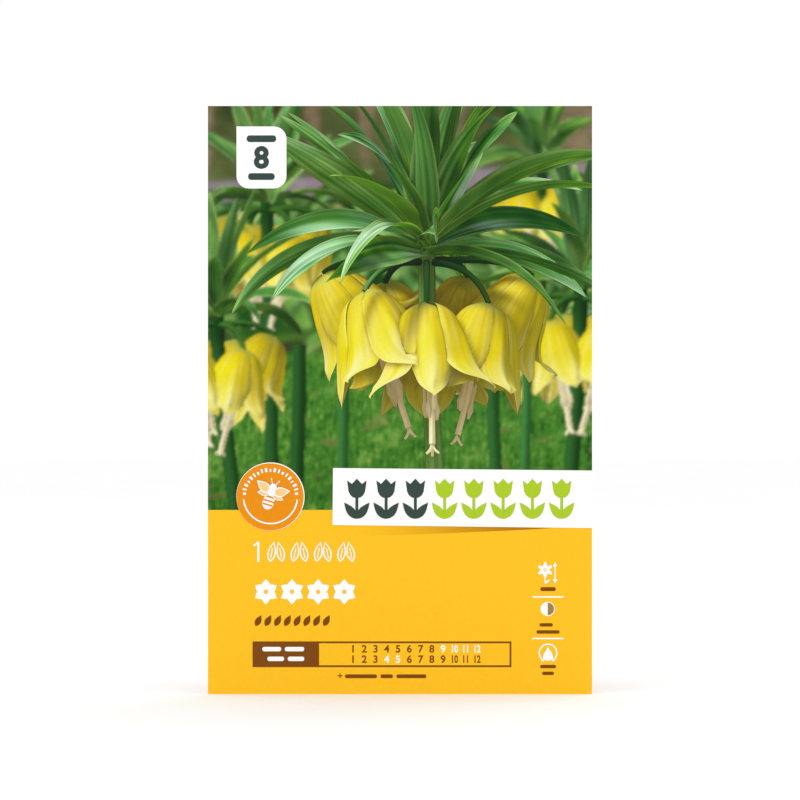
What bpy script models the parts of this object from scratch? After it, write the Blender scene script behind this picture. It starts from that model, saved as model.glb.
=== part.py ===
"""A shop pack of one crown imperial bulb: a flat printed card that stands upright, and behind it
the bulb in a net bag, whose gathered neck is held to the card's back by a glued paper strip.

Metres, +Z up. The card's printed face looks along -Y. The origin is the bottom centre of the pack.
"""

import math

import bmesh
import bpy
from mathutils import Vector

MM = 0.001

# Driving dimensions
CARD_WIDTH = 130 * MM
CARD_HEIGHT = 199 * MM
CARD_THICKNESS = 0.6 * MM
BULB_WIDTH = 81 * MM
BULB_HEIGHT = 58 * MM
STRAND = 1.2 * MM
GAP = 0.3 * MM
NET_COLUMNS = 14
NET_TOP = 181 * MM
STRIP_WIDTH = 86 * MM
STRIP_HEIGHT = 22 * MM
STRIP_LOW = 150 * MM
STRIP_THICKNESS = 0.5 * MM

# Worked out from them
BULB_RADIUS = BULB_WIDTH / 2
NET_RADIUS = BULB_RADIUS + GAP + STRAND / 2
PACK_DEPTH = CARD_THICKNESS + GAP + 2 * NET_RADIUS + STRAND
CARD_BACK = -PACK_DEPTH / 2 + CARD_THICKNESS
NET_CENTRE = PACK_DEPTH / 2 - STRAND / 2 - NET_RADIUS
BULB_BASE = STRAND + 2 * GAP
NECK_HALF_DEPTH = 1.6 * MM
NECK_CENTRE = CARD_BACK + GAP + STRAND / 2 + NECK_HALF_DEPTH


def clear_scene():
    for old in list(bpy.data.objects):
        bpy.data.objects.remove(old)


def new_collection(name):
    collection = bpy.data.collections.new(name)
    bpy.context.scene.collection.children.link(collection)
    return collection


def new_material(name, colour, roughness):
    material = bpy.data.materials.new(name)
    material.use_nodes = True
    shader = material.node_tree.nodes["Principled BSDF"]
    shader.inputs["Base Color"].default_value = (*colour, 1.0)
    shader.inputs["Roughness"].default_value = roughness
    return material


def add_object(mesh, collection, material):
    """Links the mesh as one object of the same name, with its material."""
    obj = bpy.data.objects.new(mesh.name, mesh)
    collection.objects.link(obj)
    mesh.materials.clear()
    mesh.materials.append(material)
    return obj


def blend(low, high, share):
    return low + (high - low) * share


def smooth(share):
    share = min(max(share, 0.0), 1.0)
    return share * share * (3 - 2 * share)


def curve_through(stops, at):
    """A smooth curve through a list of (place, value) stops, read at one place."""
    if at <= stops[0][0]:
        return stops[0][1]
    if at >= stops[-1][0]:
        return stops[-1][1]
    last = len(stops) - 1
    i = next(k for k in range(last) if at <= stops[k + 1][0])
    (x0, y0), (x1, y1) = stops[i], stops[i + 1]
    before, after = stops[max(i - 1, 0)], stops[min(i + 2, last)]
    slope0 = (y1 - before[1]) / (x1 - before[0])
    slope1 = (after[1] - y0) / (after[0] - x0)
    t, step = (at - x0) / (x1 - x0), x1 - x0
    return (
        (2 * t**3 - 3 * t**2 + 1) * y0
        + (t**3 - 2 * t**2 + t) * step * slope0
        + (3 * t**2 - 2 * t**3) * y1
        + (t**3 - t**2) * step * slope1
    )


# The card

def make_card(collection, material):
    """A flat board with square corners, standing on its lower edge."""
    centre = (0, CARD_BACK - CARD_THICKNESS / 2, CARD_HEIGHT / 2)
    bpy.ops.mesh.primitive_cube_add(size=1, location=centre)
    card = bpy.context.object
    card.name = card.data.name = "card"
    card.scale = (CARD_WIDTH, CARD_THICKNESS, CARD_HEIGHT)
    bpy.ops.object.transform_apply(location=False, rotation=False, scale=True)
    card.data.materials.append(material)
    for other in list(card.users_collection):
        other.objects.unlink(card)
    collection.objects.link(card)
    return card


# The bulb

BULB_SEGMENTS = 56
BULB_RINGS = 34
LOBE_SEAMS = (math.radians(28), math.radians(158), math.radians(262))
SEAM_STEP = 4.2 * MM
SEAM_WIDTH = math.radians(11)
SEAM_TWIST = 0.35
RIM_WAVE = 1.6 * MM
OUT_OF_ROUND = 0.012
ROOTS = 18
ROOT_RADIUS = 1.0 * MM
ROOT_LEVEL = 2.2 * MM

# The outline from the underside's centre, up over the shoulder and down into the stem hole.
# Places run from 0 at the lower pole to 1 at the bottom of the hole.
BULB_RADII = [
    (0.00, 0.000), (0.06, 0.20), (0.12, 0.40), (0.20, 0.66), (0.30, 0.89), (0.42, 1.0),
    (0.54, 0.965), (0.64, 0.83), (0.72, 0.65), (0.79, 0.45), (0.84, 0.30), (0.88, 0.205),
    (0.92, 0.165), (0.97, 0.11), (1.00, 0.0),
]
BULB_LEVELS = [
    (0.00, 0.05), (0.06, 0.045), (0.12, 0.045), (0.20, 0.12), (0.30, 0.26), (0.42, 0.45),
    (0.54, 0.67), (0.64, 0.835), (0.72, 0.925), (0.79, 0.975), (0.84, 1.0), (0.88, 0.985),
    (0.92, 0.87), (0.97, 0.66), (1.00, 0.60),
]


def seam_height(angle, place):
    """How far the overlapping scales stand out here: each rises slowly to its own free edge, then
    drops to the next scale. The edges fade out at the root plate."""
    fade = smooth((place - 0.16) / 0.25) * (1 - smooth((place - 0.88) / 0.1))
    turned = angle + SEAM_TWIST * (place - 0.5)
    height = 0.0
    for seam, following in zip(LOBE_SEAMS, LOBE_SEAMS[1:] + (LOBE_SEAMS[0] + math.tau,)):
        past = (turned - seam) % math.tau
        span = following - seam
        if past < span:
            rise = past / span
            edge = 1 - smooth((past - (span - SEAM_WIDTH)) / SEAM_WIDTH)
            height = SEAM_STEP * (rise**0.5 * edge - 1)
    return height * fade


def bulb_point(angle, place):
    """A point of the bulb's surface, round its own axis."""
    radius = BULB_RADIUS * curve_through(BULB_RADII, place)
    level = BULB_HEIGHT * curve_through(BULB_LEVELS, place)
    bump = seam_height(angle, place) * math.sin(math.pi * min(place / 0.84, 1.0)) ** 0.5
    lean = OUT_OF_ROUND * BULB_RADIUS * math.sin(2 * angle + 0.6) * math.sin(math.pi * place) ** 2
    radius = max(radius + bump - abs(lean), 0.0)
    rim = RIM_WAVE * math.cos(3 * angle + 0.5) * math.exp(-(((place - 0.80) / 0.09) ** 2))
    level -= abs(rim)
    return Vector((radius * math.cos(angle), radius * math.sin(angle), BULB_BASE + level))


def make_bulb(collection, cutters, material):
    """One squat globe of three fleshy scales, hollow where last year's stem stood, with short roots."""
    mesh = bpy.data.meshes.new("bulb")
    work = bmesh.new()
    bmesh.ops.create_uvsphere(
        work, u_segments=BULB_SEGMENTS, v_segments=BULB_RINGS, radius=1
    )
    for vert in work.verts:
        place = 1 - math.acos(max(-1.0, min(1.0, vert.co.z))) / math.pi
        vert.co = bulb_point(math.atan2(vert.co.y, vert.co.x), place)
    work.to_mesh(mesh)
    work.free()
    bulb = add_object(mesh, collection, material)
    bulb.location = (0, NET_CENTRE, 0)

    for i in range(ROOTS):
        add_root(cutters, i)
    join = bulb.modifiers.new("roots", "BOOLEAN")
    join.operation = "UNION"
    join.operand_type = "COLLECTION"
    join.collection = cutters
    join.solver = "MANIFOLD"
    bake_modifiers(bulb)
    for root in list(cutters.objects):
        bpy.data.objects.remove(root)
    mesh = bulb.data
    mesh.shade_smooth()
    return bulb


def add_root(cutters, i):
    """A trimmed root: a tapered stub that leaves the root plate and lies out under the bulb."""
    length = (11 + 3 * math.sin(2.3 * i)) * MM
    angle = math.tau * (i + 0.3 * math.sin(1.7 * i)) / ROOTS
    inner = (8 + 2 * (i % 2)) * MM
    start = Vector((inner * math.cos(angle), inner * math.sin(angle), BULB_BASE + ROOT_LEVEL))
    way = Vector((math.cos(angle), math.sin(angle), 0.03)).normalized()
    mesh = bpy.data.meshes.new("root")
    work = bmesh.new()
    bmesh.ops.create_cone(
        work,
        cap_ends=True,
        segments=6,
        radius1=ROOT_RADIUS,
        radius2=ROOT_RADIUS * 0.45,
        depth=length,
    )
    work.to_mesh(mesh)
    work.free()
    root = bpy.data.objects.new("root", mesh)
    root.location = start + way * (length / 2) + Vector((0, NET_CENTRE, 0))
    root.rotation_mode = "QUATERNION"
    root.rotation_quaternion = way.to_track_quat("Z", "Y")
    root.hide_render = True
    root.display_type = "WIRE"
    cutters.objects.link(root)


def bake_modifiers(obj):
    """Applies the object's modifiers to its mesh."""
    bpy.context.view_layer.update()
    graph = bpy.context.evaluated_depsgraph_get()
    old = obj.data
    made = bpy.data.meshes.new_from_object(obj.evaluated_get(graph))
    obj.modifiers.clear()
    obj.data = made
    name = old.name
    bpy.data.meshes.remove(old)
    made.name = name


# The net bag

# The net's outline, from the seam under the bulb up to the end above the strip: tight round the
# bulb, then slack over its top and flat against the card. The first number of each stop is the
# place along the net, and the second a length in millimetres.
NET_ROWS = 23
NET_WIDTHS = [
    (0.0, 15.0), (0.05, 22.0), (0.10, 30.5), (0.16, 38.0), (0.22, 40.9), (0.27, 41.4),
    (0.33, 40.7), (0.39, 37.8), (0.44, 34.2), (0.49, 31.4), (0.54, 29.4), (0.60, 27.4),
    (0.66, 26.0), (0.74, 24.6), (0.82, 24.0), (1.0, 24.0),
]
NET_DEPTHS = [
    (0.0, 2.4), (0.05, 14.0), (0.10, 26.5), (0.16, 37.0), (0.22, 40.7), (0.27, 41.4),
    (0.33, 40.3), (0.39, 36.4), (0.44, 30.0), (0.49, 19.6), (0.54, 10.6), (0.60, 4.8),
    (0.66, 2.5), (0.74, 1.6), (0.82, 1.6), (1.0, 1.6),
]
NET_LEVELS = [
    (0.0, 0.65), (0.05, 0.65), (0.10, 3.0), (0.16, 10.5), (0.22, 20.0), (0.27, 29.5),
    (0.33, 41.0), (0.39, 52.0), (0.44, 61.0), (0.49, 68.0), (0.54, 75.5), (0.60, 86.0),
    (0.66, 98.0), (0.74, 116.0), (0.82, 136.0), (1.0, 181.0),
]
FLAT_DEPTH = 9 * MM
BAND_ROUNDING = 6
LEAN_FROM = 30 * MM
LEAN_TO = 70 * MM
SEAM_LENGTH = 34 * MM
SEAM_DEPTH = 7 * MM
HEAD_WIDTH = 51 * MM
HEAD_HEIGHT = 4.5 * MM


def net_point(column, row):
    """A crossing of the net's strands. Odd rows sit half a column round. The section is an ellipse
    round the bulb, and turns into a flat band with rounded sides where the net closes up, with the
    crossings spread evenly over its width."""
    place = row / NET_ROWS
    half_width = curve_through(NET_WIDTHS, place) * MM
    half_depth = curve_through(NET_DEPTHS, place) * MM
    level = max(curve_through(NET_LEVELS, place), NET_LEVELS[0][1]) * MM
    angle = math.remainder(math.tau * (column + 0.5 * (row % 2)) / NET_COLUMNS, math.tau)
    across_band = 1 - 2 * abs(angle) / math.pi
    out_of_band = math.copysign((1 - across_band**BAND_ROUNDING) ** (1 / BAND_ROUNDING), angle)
    flat = 1 - smooth(half_depth / FLAT_DEPTH)
    side = blend(math.cos(angle), across_band, flat)
    front = blend(math.sin(angle), out_of_band, flat)
    centre = net_centre(half_depth, level)
    return Vector((half_width * side, centre + half_depth * front, level))


def net_centre(half_depth, level):
    """The net's middle leans from the bulb's axis to the card as it rises above the bulb."""
    against_card = CARD_BACK + GAP + STRAND / 2 + half_depth
    return blend(NET_CENTRE, against_card, smooth((level - LEAN_FROM) / (LEAN_TO - LEAN_FROM)))


def make_net(collection, cutters, material):
    """A sleeve of diamond net, welded flat under the bulb and at its upper end."""
    mesh = bpy.data.meshes.new("net_bag")
    points = [net_point(c, r) for r in range(NET_ROWS + 1) for c in range(NET_COLUMNS)]

    def index(column, row):
        return row * NET_COLUMNS + column % NET_COLUMNS

    faces = []
    for row in range(-1, NET_ROWS):
        shift = row % 2
        for column in range(NET_COLUMNS):
            corners = [
                (column, row),
                (column + shift, row + 1),
                (column, row + 2),
                (column + shift - 1, row + 1),
            ]
            faces.append([index(c, r) for c, r in corners if 0 <= r <= NET_ROWS])
    mesh.from_pydata(points, [], faces)
    net = add_object(mesh, collection, material)
    strands = net.modifiers.new("strands", "WIREFRAME")
    strands.thickness = STRAND
    strands.use_even_offset = False
    strands.use_boundary = True
    strands.use_replace = True
    bake_modifiers(net)

    add_weld(cutters, (SEAM_LENGTH, SEAM_DEPTH, STRAND + 0.1 * MM), NET_CENTRE, 0)
    head_low = NET_TOP - HEAD_HEIGHT / 2
    add_weld(cutters, (HEAD_WIDTH, 2 * NECK_HALF_DEPTH + STRAND, HEAD_HEIGHT), NECK_CENTRE, head_low)
    join = net.modifiers.new("welds", "BOOLEAN")
    join.operation = "UNION"
    join.operand_type = "COLLECTION"
    join.collection = cutters
    join.solver = "MANIFOLD"
    bake_modifiers(net)
    for weld in list(cutters.objects):
        bpy.data.objects.remove(weld)
    return net


def add_weld(cutters, size, centre_y, low):
    """A flat bar of melted strands."""
    mesh = bpy.data.meshes.new("weld")
    work = bmesh.new()
    bmesh.ops.create_cube(work, size=1)
    bmesh.ops.scale(work, vec=size, verts=work.verts)
    work.to_mesh(mesh)
    work.free()
    weld = bpy.data.objects.new("weld", mesh)
    weld.location = (0, centre_y, low + size[2] / 2)
    weld.hide_render = True
    weld.display_type = "WIRE"
    cutters.objects.link(weld)


# The glued strip

STRIP_STEP = 8 * MM
NECK_HALF_WIDTH = 27 * MM


def make_strip(collection, material):
    """A paper strip, flat on the card at both ends and bowed out over the net's neck."""
    rise = 2 * NECK_HALF_DEPTH + STRAND + GAP
    foot = CARD_BACK + GAP + STRIP_THICKNESS / 2
    outer = STRIP_WIDTH / 2
    steps = 28
    mesh = bpy.data.meshes.new("glue_strip")
    points, faces = [], []
    for i in range(steps + 1):
        x = blend(-outer, outer, i / steps)
        raised = 1 - smooth((abs(x) - NECK_HALF_WIDTH) / STRIP_STEP)
        for level in (STRIP_LOW, STRIP_LOW + STRIP_HEIGHT):
            points.append((x, foot + rise * raised, level))
    for i in range(steps):
        faces.append((2 * i, 2 * i + 2, 2 * i + 3, 2 * i + 1))
    mesh.from_pydata(points, [], faces)
    strip = add_object(mesh, collection, material)
    paper = strip.modifiers.new("paper", "SOLIDIFY")
    paper.thickness = STRIP_THICKNESS
    paper.offset = 0
    paper.use_even_offset = True
    return strip


def main():
    clear_scene()
    parts = new_collection("bulb_pack")
    cutters = new_collection("joined_pieces")
    print_yellow = new_material("card", (0.98, 0.56, 0.025), 0.45)
    scale_cream = new_material("bulb", (0.80, 0.68, 0.44), 0.6)
    net_orange = new_material("net_bag", (0.90, 0.30, 0.02), 0.4)
    paper_white = new_material("glue_strip", (0.90, 0.89, 0.86), 0.7)
    make_card(parts, print_yellow)
    make_bulb(parts, cutters, scale_cream)
    make_net(parts, cutters, net_orange)
    make_strip(parts, paper_white)


main()
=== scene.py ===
"""Looks of a shop pack of one crown imperial bulb: a printed picture card with the bulb in a net
bag behind it. The print is built as thin layers of ink in front of the card, each coloured by
formulas: a garden out of focus, a crown imperial in front of it, and the plain label below.
"""

import math

import bmesh
import bpy
import numpy as np
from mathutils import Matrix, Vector
from mathutils.bvhtree import BVHTree


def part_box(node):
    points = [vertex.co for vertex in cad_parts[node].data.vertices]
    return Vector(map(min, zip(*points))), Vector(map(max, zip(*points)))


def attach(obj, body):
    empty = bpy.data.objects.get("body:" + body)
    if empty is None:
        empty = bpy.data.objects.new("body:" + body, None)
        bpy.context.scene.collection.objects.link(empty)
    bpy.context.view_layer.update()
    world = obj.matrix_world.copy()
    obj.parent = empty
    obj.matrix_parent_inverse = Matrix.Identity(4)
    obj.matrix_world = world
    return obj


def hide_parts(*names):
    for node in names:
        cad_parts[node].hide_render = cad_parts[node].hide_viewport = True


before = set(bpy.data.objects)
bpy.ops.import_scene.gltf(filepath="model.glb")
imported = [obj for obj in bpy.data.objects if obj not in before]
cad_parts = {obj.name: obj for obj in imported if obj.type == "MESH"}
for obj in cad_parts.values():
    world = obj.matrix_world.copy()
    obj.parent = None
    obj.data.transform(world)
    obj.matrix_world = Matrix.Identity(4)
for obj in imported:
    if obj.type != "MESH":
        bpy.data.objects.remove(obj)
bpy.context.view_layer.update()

MM = 0.001

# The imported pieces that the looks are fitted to
card_low, card_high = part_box("card")
CARD_FRONT = card_low.y
CARD_BACK = card_high.y
CARD_WIDTH = (card_high.x - card_low.x) / MM
CARD_HEIGHT = (card_high.z - card_low.z) / MM
HALF_CARD = CARD_WIDTH / 2


# Helpers

def smooth(share):
    """Eases from 0 to 1, and stays level outside that range."""
    share = np.clip(share, 0.0, 1.0)
    return share * share * (3 - 2 * share)


def blend(low, high, share):
    return low + (high - low) * share


def curve_through(stops, at, column=1):
    """A smooth curve through a table of stops, each a place and its values, read at many places."""
    table = np.array(stops, float)
    places, values = table[:, 0], table[:, column]
    slopes = np.empty(len(stops))
    slopes[1:-1] = (values[2:] - values[:-2]) / (places[2:] - places[:-2])
    slopes[0] = (values[1] - values[0]) / (places[1] - places[0])
    slopes[-1] = (values[-1] - values[-2]) / (places[-1] - places[-2])
    at = np.clip(at, places[0], places[-1])
    i = np.clip(np.searchsorted(places, at, side="right") - 1, 0, len(stops) - 2)
    step = places[i + 1] - places[i]
    t = (at - places[i]) / step
    return (
        (2 * t**3 - 3 * t**2 + 1) * values[i]
        + (t**3 - 2 * t**2 + t) * step * slopes[i]
        + (3 * t**2 - 2 * t**3) * values[i + 1]
        + (t**3 - t**2) * step * slopes[i + 1]
    )


def linear(red, green, blue):
    """A screen colour from 0 to 255 as linear light."""
    value = np.array((red, green, blue), float) / 255
    return np.where(value <= 0.04045, value / 12.92, ((value + 0.055) / 1.055) ** 2.4)


def show(obj):
    bpy.context.scene.collection.objects.link(obj)
    return obj


def mesh_object(name, mesh, material, shade_smooth=True):
    mesh.materials.append(material)
    if shade_smooth:
        mesh.shade_smooth()
    return show(bpy.data.objects.new(name, mesh))


def make_object(name, points, faces, material, shade_smooth=True):
    """A mesh object in metres, with one material."""
    mesh = bpy.data.meshes.new(name)
    mesh.from_pydata([tuple(p) for p in points], [], [tuple(f) for f in faces])
    mesh.update()
    return mesh_object(name, mesh, material, shade_smooth)


def set_values(obj, name, values):
    """Stores a value at each point, for the material to read."""
    layer = obj.data.attributes.new(name, "FLOAT", "POINT")
    layer.data.foreach_set("value", values.astype(np.float32))


def finish_piece(obj, slot, *nodes):
    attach(obj, "root")
    if nodes:
        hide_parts(*nodes)


def grid_faces(across, along, closed_across=False):
    """Quads of a grid of points whose rows are `across` long."""
    faces = []
    last = across if closed_across else across - 1
    for j in range(along - 1):
        for i in range(last):
            k = (i + 1) % across
            faces.append((j * across + i, j * across + k, (j + 1) * across + k, (j + 1) * across + i))
    return faces


def tube_faces(around, along):
    """Quads of a tube's rings, and a cap at both ends."""
    last_ring = around * (along - 1)
    caps = [tuple(range(around))[::-1], tuple(range(last_ring, last_ring + around))]
    return grid_faces(around, along, closed_across=True) + caps


def tube(path, radii, sides):
    """Points and faces of a closed tube along a path, whose section turns as little as it can."""
    path = np.asarray(path, float)
    ahead = np.gradient(path, axis=0)
    ahead /= np.linalg.norm(ahead, axis=1)[:, None]
    side = np.cross(ahead[0], (0.0, 0.0, 1.0))
    if np.linalg.norm(side) < 0.1:
        side = np.cross(ahead[0], (1.0, 0.0, 0.0))
    turns = np.arange(sides) * math.tau / sides
    points = []
    for place, way, radius in zip(path, ahead, radii):
        side = side - way * (side @ way)
        side /= np.linalg.norm(side)
        up = np.cross(way, side)
        points.append(place + radius * (np.outer(np.cos(turns), side) + np.outer(np.sin(turns), up)))
    return np.concatenate(points), tube_faces(sides, len(path))


def join_parts(parts):
    """One list of points and one of faces from many (points, faces)."""
    points, faces, start = [], [], 0
    for some_points, some_faces in parts:
        points.append(np.asarray(some_points, float))
        faces += [tuple(start + i for i in face) for face in some_faces]
        start += len(some_points)
    return np.concatenate(points), faces


# Materials

class Surface:
    """A material: its shader, and the textures that feed it."""

    def __init__(self, name, roughness, specular):
        self.material = bpy.data.materials.new(name)
        self.material.use_nodes = True
        self.tree = self.material.node_tree
        self.shader = self.tree.nodes["Principled BSDF"]
        self.feed(self.shader, {"Roughness": roughness, "Specular IOR Level": specular})

    def feed(self, node, values):
        """Sets a node's sockets, or links them where the value is another node's output."""
        for key, value in values.items():
            socket = node.inputs[key]
            if isinstance(value, bpy.types.NodeSocket):
                self.tree.links.new(value, socket)
            elif socket.type == "RGBA":
                socket.default_value = (*value, 1.0)
            else:
                socket.default_value = value

    def node(self, kind, output, values=None, **settings):
        """Adds a node and gives back one of its outputs."""
        node = self.tree.nodes.new("ShaderNode" + kind)
        for name, setting in settings.items():
            setattr(node, name, setting)
        self.feed(node, values or {})
        return node.outputs[output]

    def noise(self, scale, detail, roughness=0.5, stretch=None):
        """A noise texture on the object's own coordinates, in cells for each metre."""
        place = self.node("TexCoord", "Object")
        if stretch:
            place = self.node("Mapping", "Vector", {"Vector": place, "Scale": stretch})
        values = {"Vector": place, "Scale": scale, "Detail": detail, "Roughness": roughness}
        return self.node("TexNoise", "Fac", values)

    def ramp(self, factor, *stops):
        """A colour ramp through (place, linear colour) stops."""
        output = self.node("ValToRGB", "Color", {"Fac": factor})
        elements = output.node.color_ramp.elements
        while len(elements) < len(stops):
            elements.new(0.5)
        for element, (place, colour) in zip(elements, stops):
            element.position = place
            element.color = (*colour, 1.0)
        return output

    def mix(self, kind, factor, first, second):
        """Mixes two colours. The numbers are the Mix node's sockets for colours."""
        values = {0: factor, 6: first, 7: second}
        return self.node("Mix", 2, values, data_type="RGBA", blend_type=kind)

    def stored(self, name, output="Fac"):
        """What the points hold under this name."""
        return self.node("Attribute", output, attribute_name=name)

    def colour(self, colour):
        self.feed(self.shader, {"Base Color": colour})

    def gloss(self, value, low, high):
        """A roughness that follows a texture, from low to high."""
        rough = self.node("MapRange", "Result", {"Value": value, "To Min": low, "To Max": high})
        self.feed(self.shader, {"Roughness": rough})

    def bump(self, height, strength, distance):
        values = {"Height": height, "Strength": strength, "Distance": distance}
        self.feed(self.shader, {"Normal": self.node("Bump", "Normal", values)})

    def soften(self, weight, scale):
        """Lets some light through below the skin."""
        self.feed(self.shader, {"Subsurface Weight": weight, "Subsurface Scale": scale})


def print_material():
    """Ink under a satin varnish. The colour is held by each layer of the print."""
    ink = Surface("print_ink", 0.42, 0.15)
    mottle = ink.ramp(ink.noise(900.0, 3.0), (0.3, (0.965,) * 3), (0.7, (1.0,) * 3))
    ink.colour(ink.mix("MULTIPLY", 1.0, ink.stored("ink", "Color"), mottle))
    ink.gloss(ink.noise(260.0, 2.0), 0.36, 0.5)
    ink.bump(ink.noise(3200.0, 2.0), 0.12, 0.00002)
    return ink.material


def board_material():
    """Uncoated white board with short fibres and small grey specks."""
    board = Surface("card_board", 0.78, 0.3)
    fibres = board.noise(420.0, 6.0, roughness=0.7, stretch=(1.0, 1.0, 0.35))
    base = board.ramp(fibres, (0.25, linear(219, 216, 207)), (0.6, linear(228, 226, 219)))
    specks = board.ramp(board.noise(1500.0, 1.0), (0.27, (0.72, 0.70, 0.66)), (0.31, (1.0,) * 3))
    board.colour(board.mix("MULTIPLY", 0.6, base, specks))
    board.gloss(fibres, 0.7, 0.86)
    board.bump(fibres, 0.35, 0.00008)
    return board.material


def net_material():
    """Extruded plastic, a little see-through in look, with drawn streaks along the strands."""
    net = Surface("net_plastic", 0.34, 0.5)
    net.colour(net.ramp(net.noise(70.0, 3.0), (0.3, linear(228, 112, 18)), (0.7, linear(246, 142, 34))))
    streaks = net.noise(1400.0, 2.0, stretch=(1.0, 1.0, 0.2))
    net.gloss(streaks, 0.26, 0.45)
    net.bump(streaks, 0.3, 0.00006)
    net.soften(0.15, 0.0008)
    return net.material


def bulb_material():
    """Fleshy ivory scales, stained tan where they dried, with brown in the cracks."""
    bulb = Surface("bulb_scales", 0.62, 0.35)
    veins = bulb.noise(160.0, 5.0, roughness=0.6, stretch=(1.0, 1.0, 0.16))
    flesh = bulb.ramp(
        veins, (0.28, linear(204, 178, 128)), (0.5, linear(229, 213, 172)), (0.75, linear(241, 232, 205)),
    )
    stains = bulb.noise(45.0, 6.0, roughness=0.65)
    brown = bulb.ramp(stains, (0.52, (1.0,) * 3), (0.68, linear(198, 150, 88)))
    base = bulb.mix("MULTIPLY", 0.75, flesh, brown)
    bulb.colour(bulb.mix("MIX", bulb.stored("crack"), base, linear(122, 84, 46)))
    bulb.gloss(stains, 0.5, 0.75)
    bulb.bump(veins, 0.5, 0.0006)
    bulb.soften(0.12, 0.003)
    return bulb.material


def root_material():
    root = Surface("bulb_roots", 0.8, 0.25)
    along = root.noise(500.0, 5.0)
    root.colour(root.ramp(along, (0.3, linear(128, 92, 54)), (0.7, linear(196, 164, 112))))
    root.bump(along, 0.6, 0.0003)
    return root.material


def strip_material():
    """White paper with soft fibres, yellower where the glue has come through."""
    paper = Surface("strip_paper", 0.72, 0.3)
    fibres = paper.noise(650.0, 6.0, roughness=0.7, stretch=(0.35, 1.0, 1.0))
    base = paper.ramp(fibres, (0.3, linear(233, 231, 225)), (0.65, linear(247, 246, 243)))
    paper.colour(paper.mix("MIX", paper.stored("glue"), base, linear(226, 216, 190)))
    paper.gloss(fibres, 0.62, 0.8)
    paper.bump(fibres, 0.4, 0.00008)
    return paper.material


def floor_material():
    floor = Surface("floor_pale", 0.7, 0.2)
    floor.colour(floor.ramp(floor.noise(6.0, 3.0), (0.3, (0.965,) * 3), (0.7, (0.98,) * 3)))
    return floor.material


# The bulb, in millimetres round its own axis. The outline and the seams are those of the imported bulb.

NET_CENTRE_MM = 0.45
BULB_RADIUS = 40.5
BULB_HEIGHT = 58.0
BULB_BASE = 1.8
SEAM_STEP = 4.2
SEAM_WIDTH = math.radians(11)
LOBE_SEAMS = (math.radians(28), math.radians(158), math.radians(262))
ROOT_COUNT = 34
# Places from the plate under the bulb to the bottom of its hole, with shares of radius and height
BULB_PROFILE = [
    (0.00, 0.0, 0.05), (0.06, 0.20, 0.045), (0.12, 0.40, 0.045), (0.20, 0.66, 0.12), (0.30, 0.89, 0.26),
    (0.42, 1.0, 0.45), (0.54, 0.965, 0.67), (0.64, 0.83, 0.835), (0.72, 0.65, 0.925),
    (0.79, 0.45, 0.975), (0.84, 0.30, 1.0), (0.88, 0.205, 0.985), (0.92, 0.165, 0.87),
    (0.97, 0.11, 0.66), (1.00, 0.0, 0.60),
]


def seam_height(angle, place):
    """How far the overlapping scales stand out, and how deep in a crack each point is."""
    fade = smooth((place - 0.16) / 0.25) * (1 - smooth((place - 0.88) / 0.1))
    turned = angle + 0.35 * (place - 0.5) + 0.05 * np.sin(9 * place)
    height = np.zeros_like(angle)
    crack = np.zeros_like(angle)
    for seam, following in zip(LOBE_SEAMS, LOBE_SEAMS[1:] + (LOBE_SEAMS[0] + math.tau,)):
        past = (turned - seam) % math.tau
        span = following - seam
        here = past < span
        rise = np.clip(past / span, 0, 1)
        edge = 1 - smooth((past - (span - SEAM_WIDTH * 0.6)) / (SEAM_WIDTH * 0.6))
        height = np.where(here, SEAM_STEP * (np.sqrt(rise) * edge - 1), height)
        crack = np.where(here, np.exp(-past / 0.05) + (1 - edge) ** 2, crack)
    return height * fade, np.clip(crack * fade, 0, 1)


def bulb_surface(angle, place):
    radius = BULB_RADIUS * curve_through(BULB_PROFILE, place)
    level = BULB_HEIGHT * curve_through(BULB_PROFILE, place, 2)
    step, crack = seam_height(angle, place)
    bump = step * np.sqrt(np.sin(math.pi * np.minimum(place / 0.84, 1.0)).clip(0))
    lean = 0.012 * BULB_RADIUS * np.sin(2 * angle + 0.6) * np.sin(math.pi * place) ** 2
    ribs = 0.22 * np.sin(31 * angle + 2 * np.sin(3 * angle)) * np.sin(math.pi * place) ** 2
    dents = 0.35 * np.sin(5 * angle + 7 * place) * np.sin(11 * place + 2 * angle)
    radius = np.maximum(radius + bump - np.abs(lean) + (ribs + dents) * np.sin(math.pi * place) - 0.3, 0)
    level = level - np.abs(1.6 * np.cos(3 * angle + 0.5) * np.exp(-(((place - 0.80) / 0.09) ** 2)))
    points = np.stack([radius * np.cos(angle), radius * np.sin(angle), BULB_BASE + level], -1)
    return points, crack


def make_bulb(material):
    around, along = 180, 120
    place, angle = np.meshgrid(np.linspace(0.004, 0.998, along), np.arange(around) * math.tau / around,
                               indexing="ij")
    place, angle = place.ravel(), angle.ravel()
    points, crack = bulb_surface(angle, place)
    hole = smooth((place - 0.86) / 0.06)
    plate = 1 - smooth((place - 0.08) / 0.08)
    points = (points + (0, NET_CENTRE_MM, 0)) * MM
    bulb = make_object("bulb_scales", points, tube_faces(around, along), material)
    set_values(bulb, "crack", np.clip(0.75 * crack + 0.6 * hole + 0.55 * plate, 0, 1))
    return bulb


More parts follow.
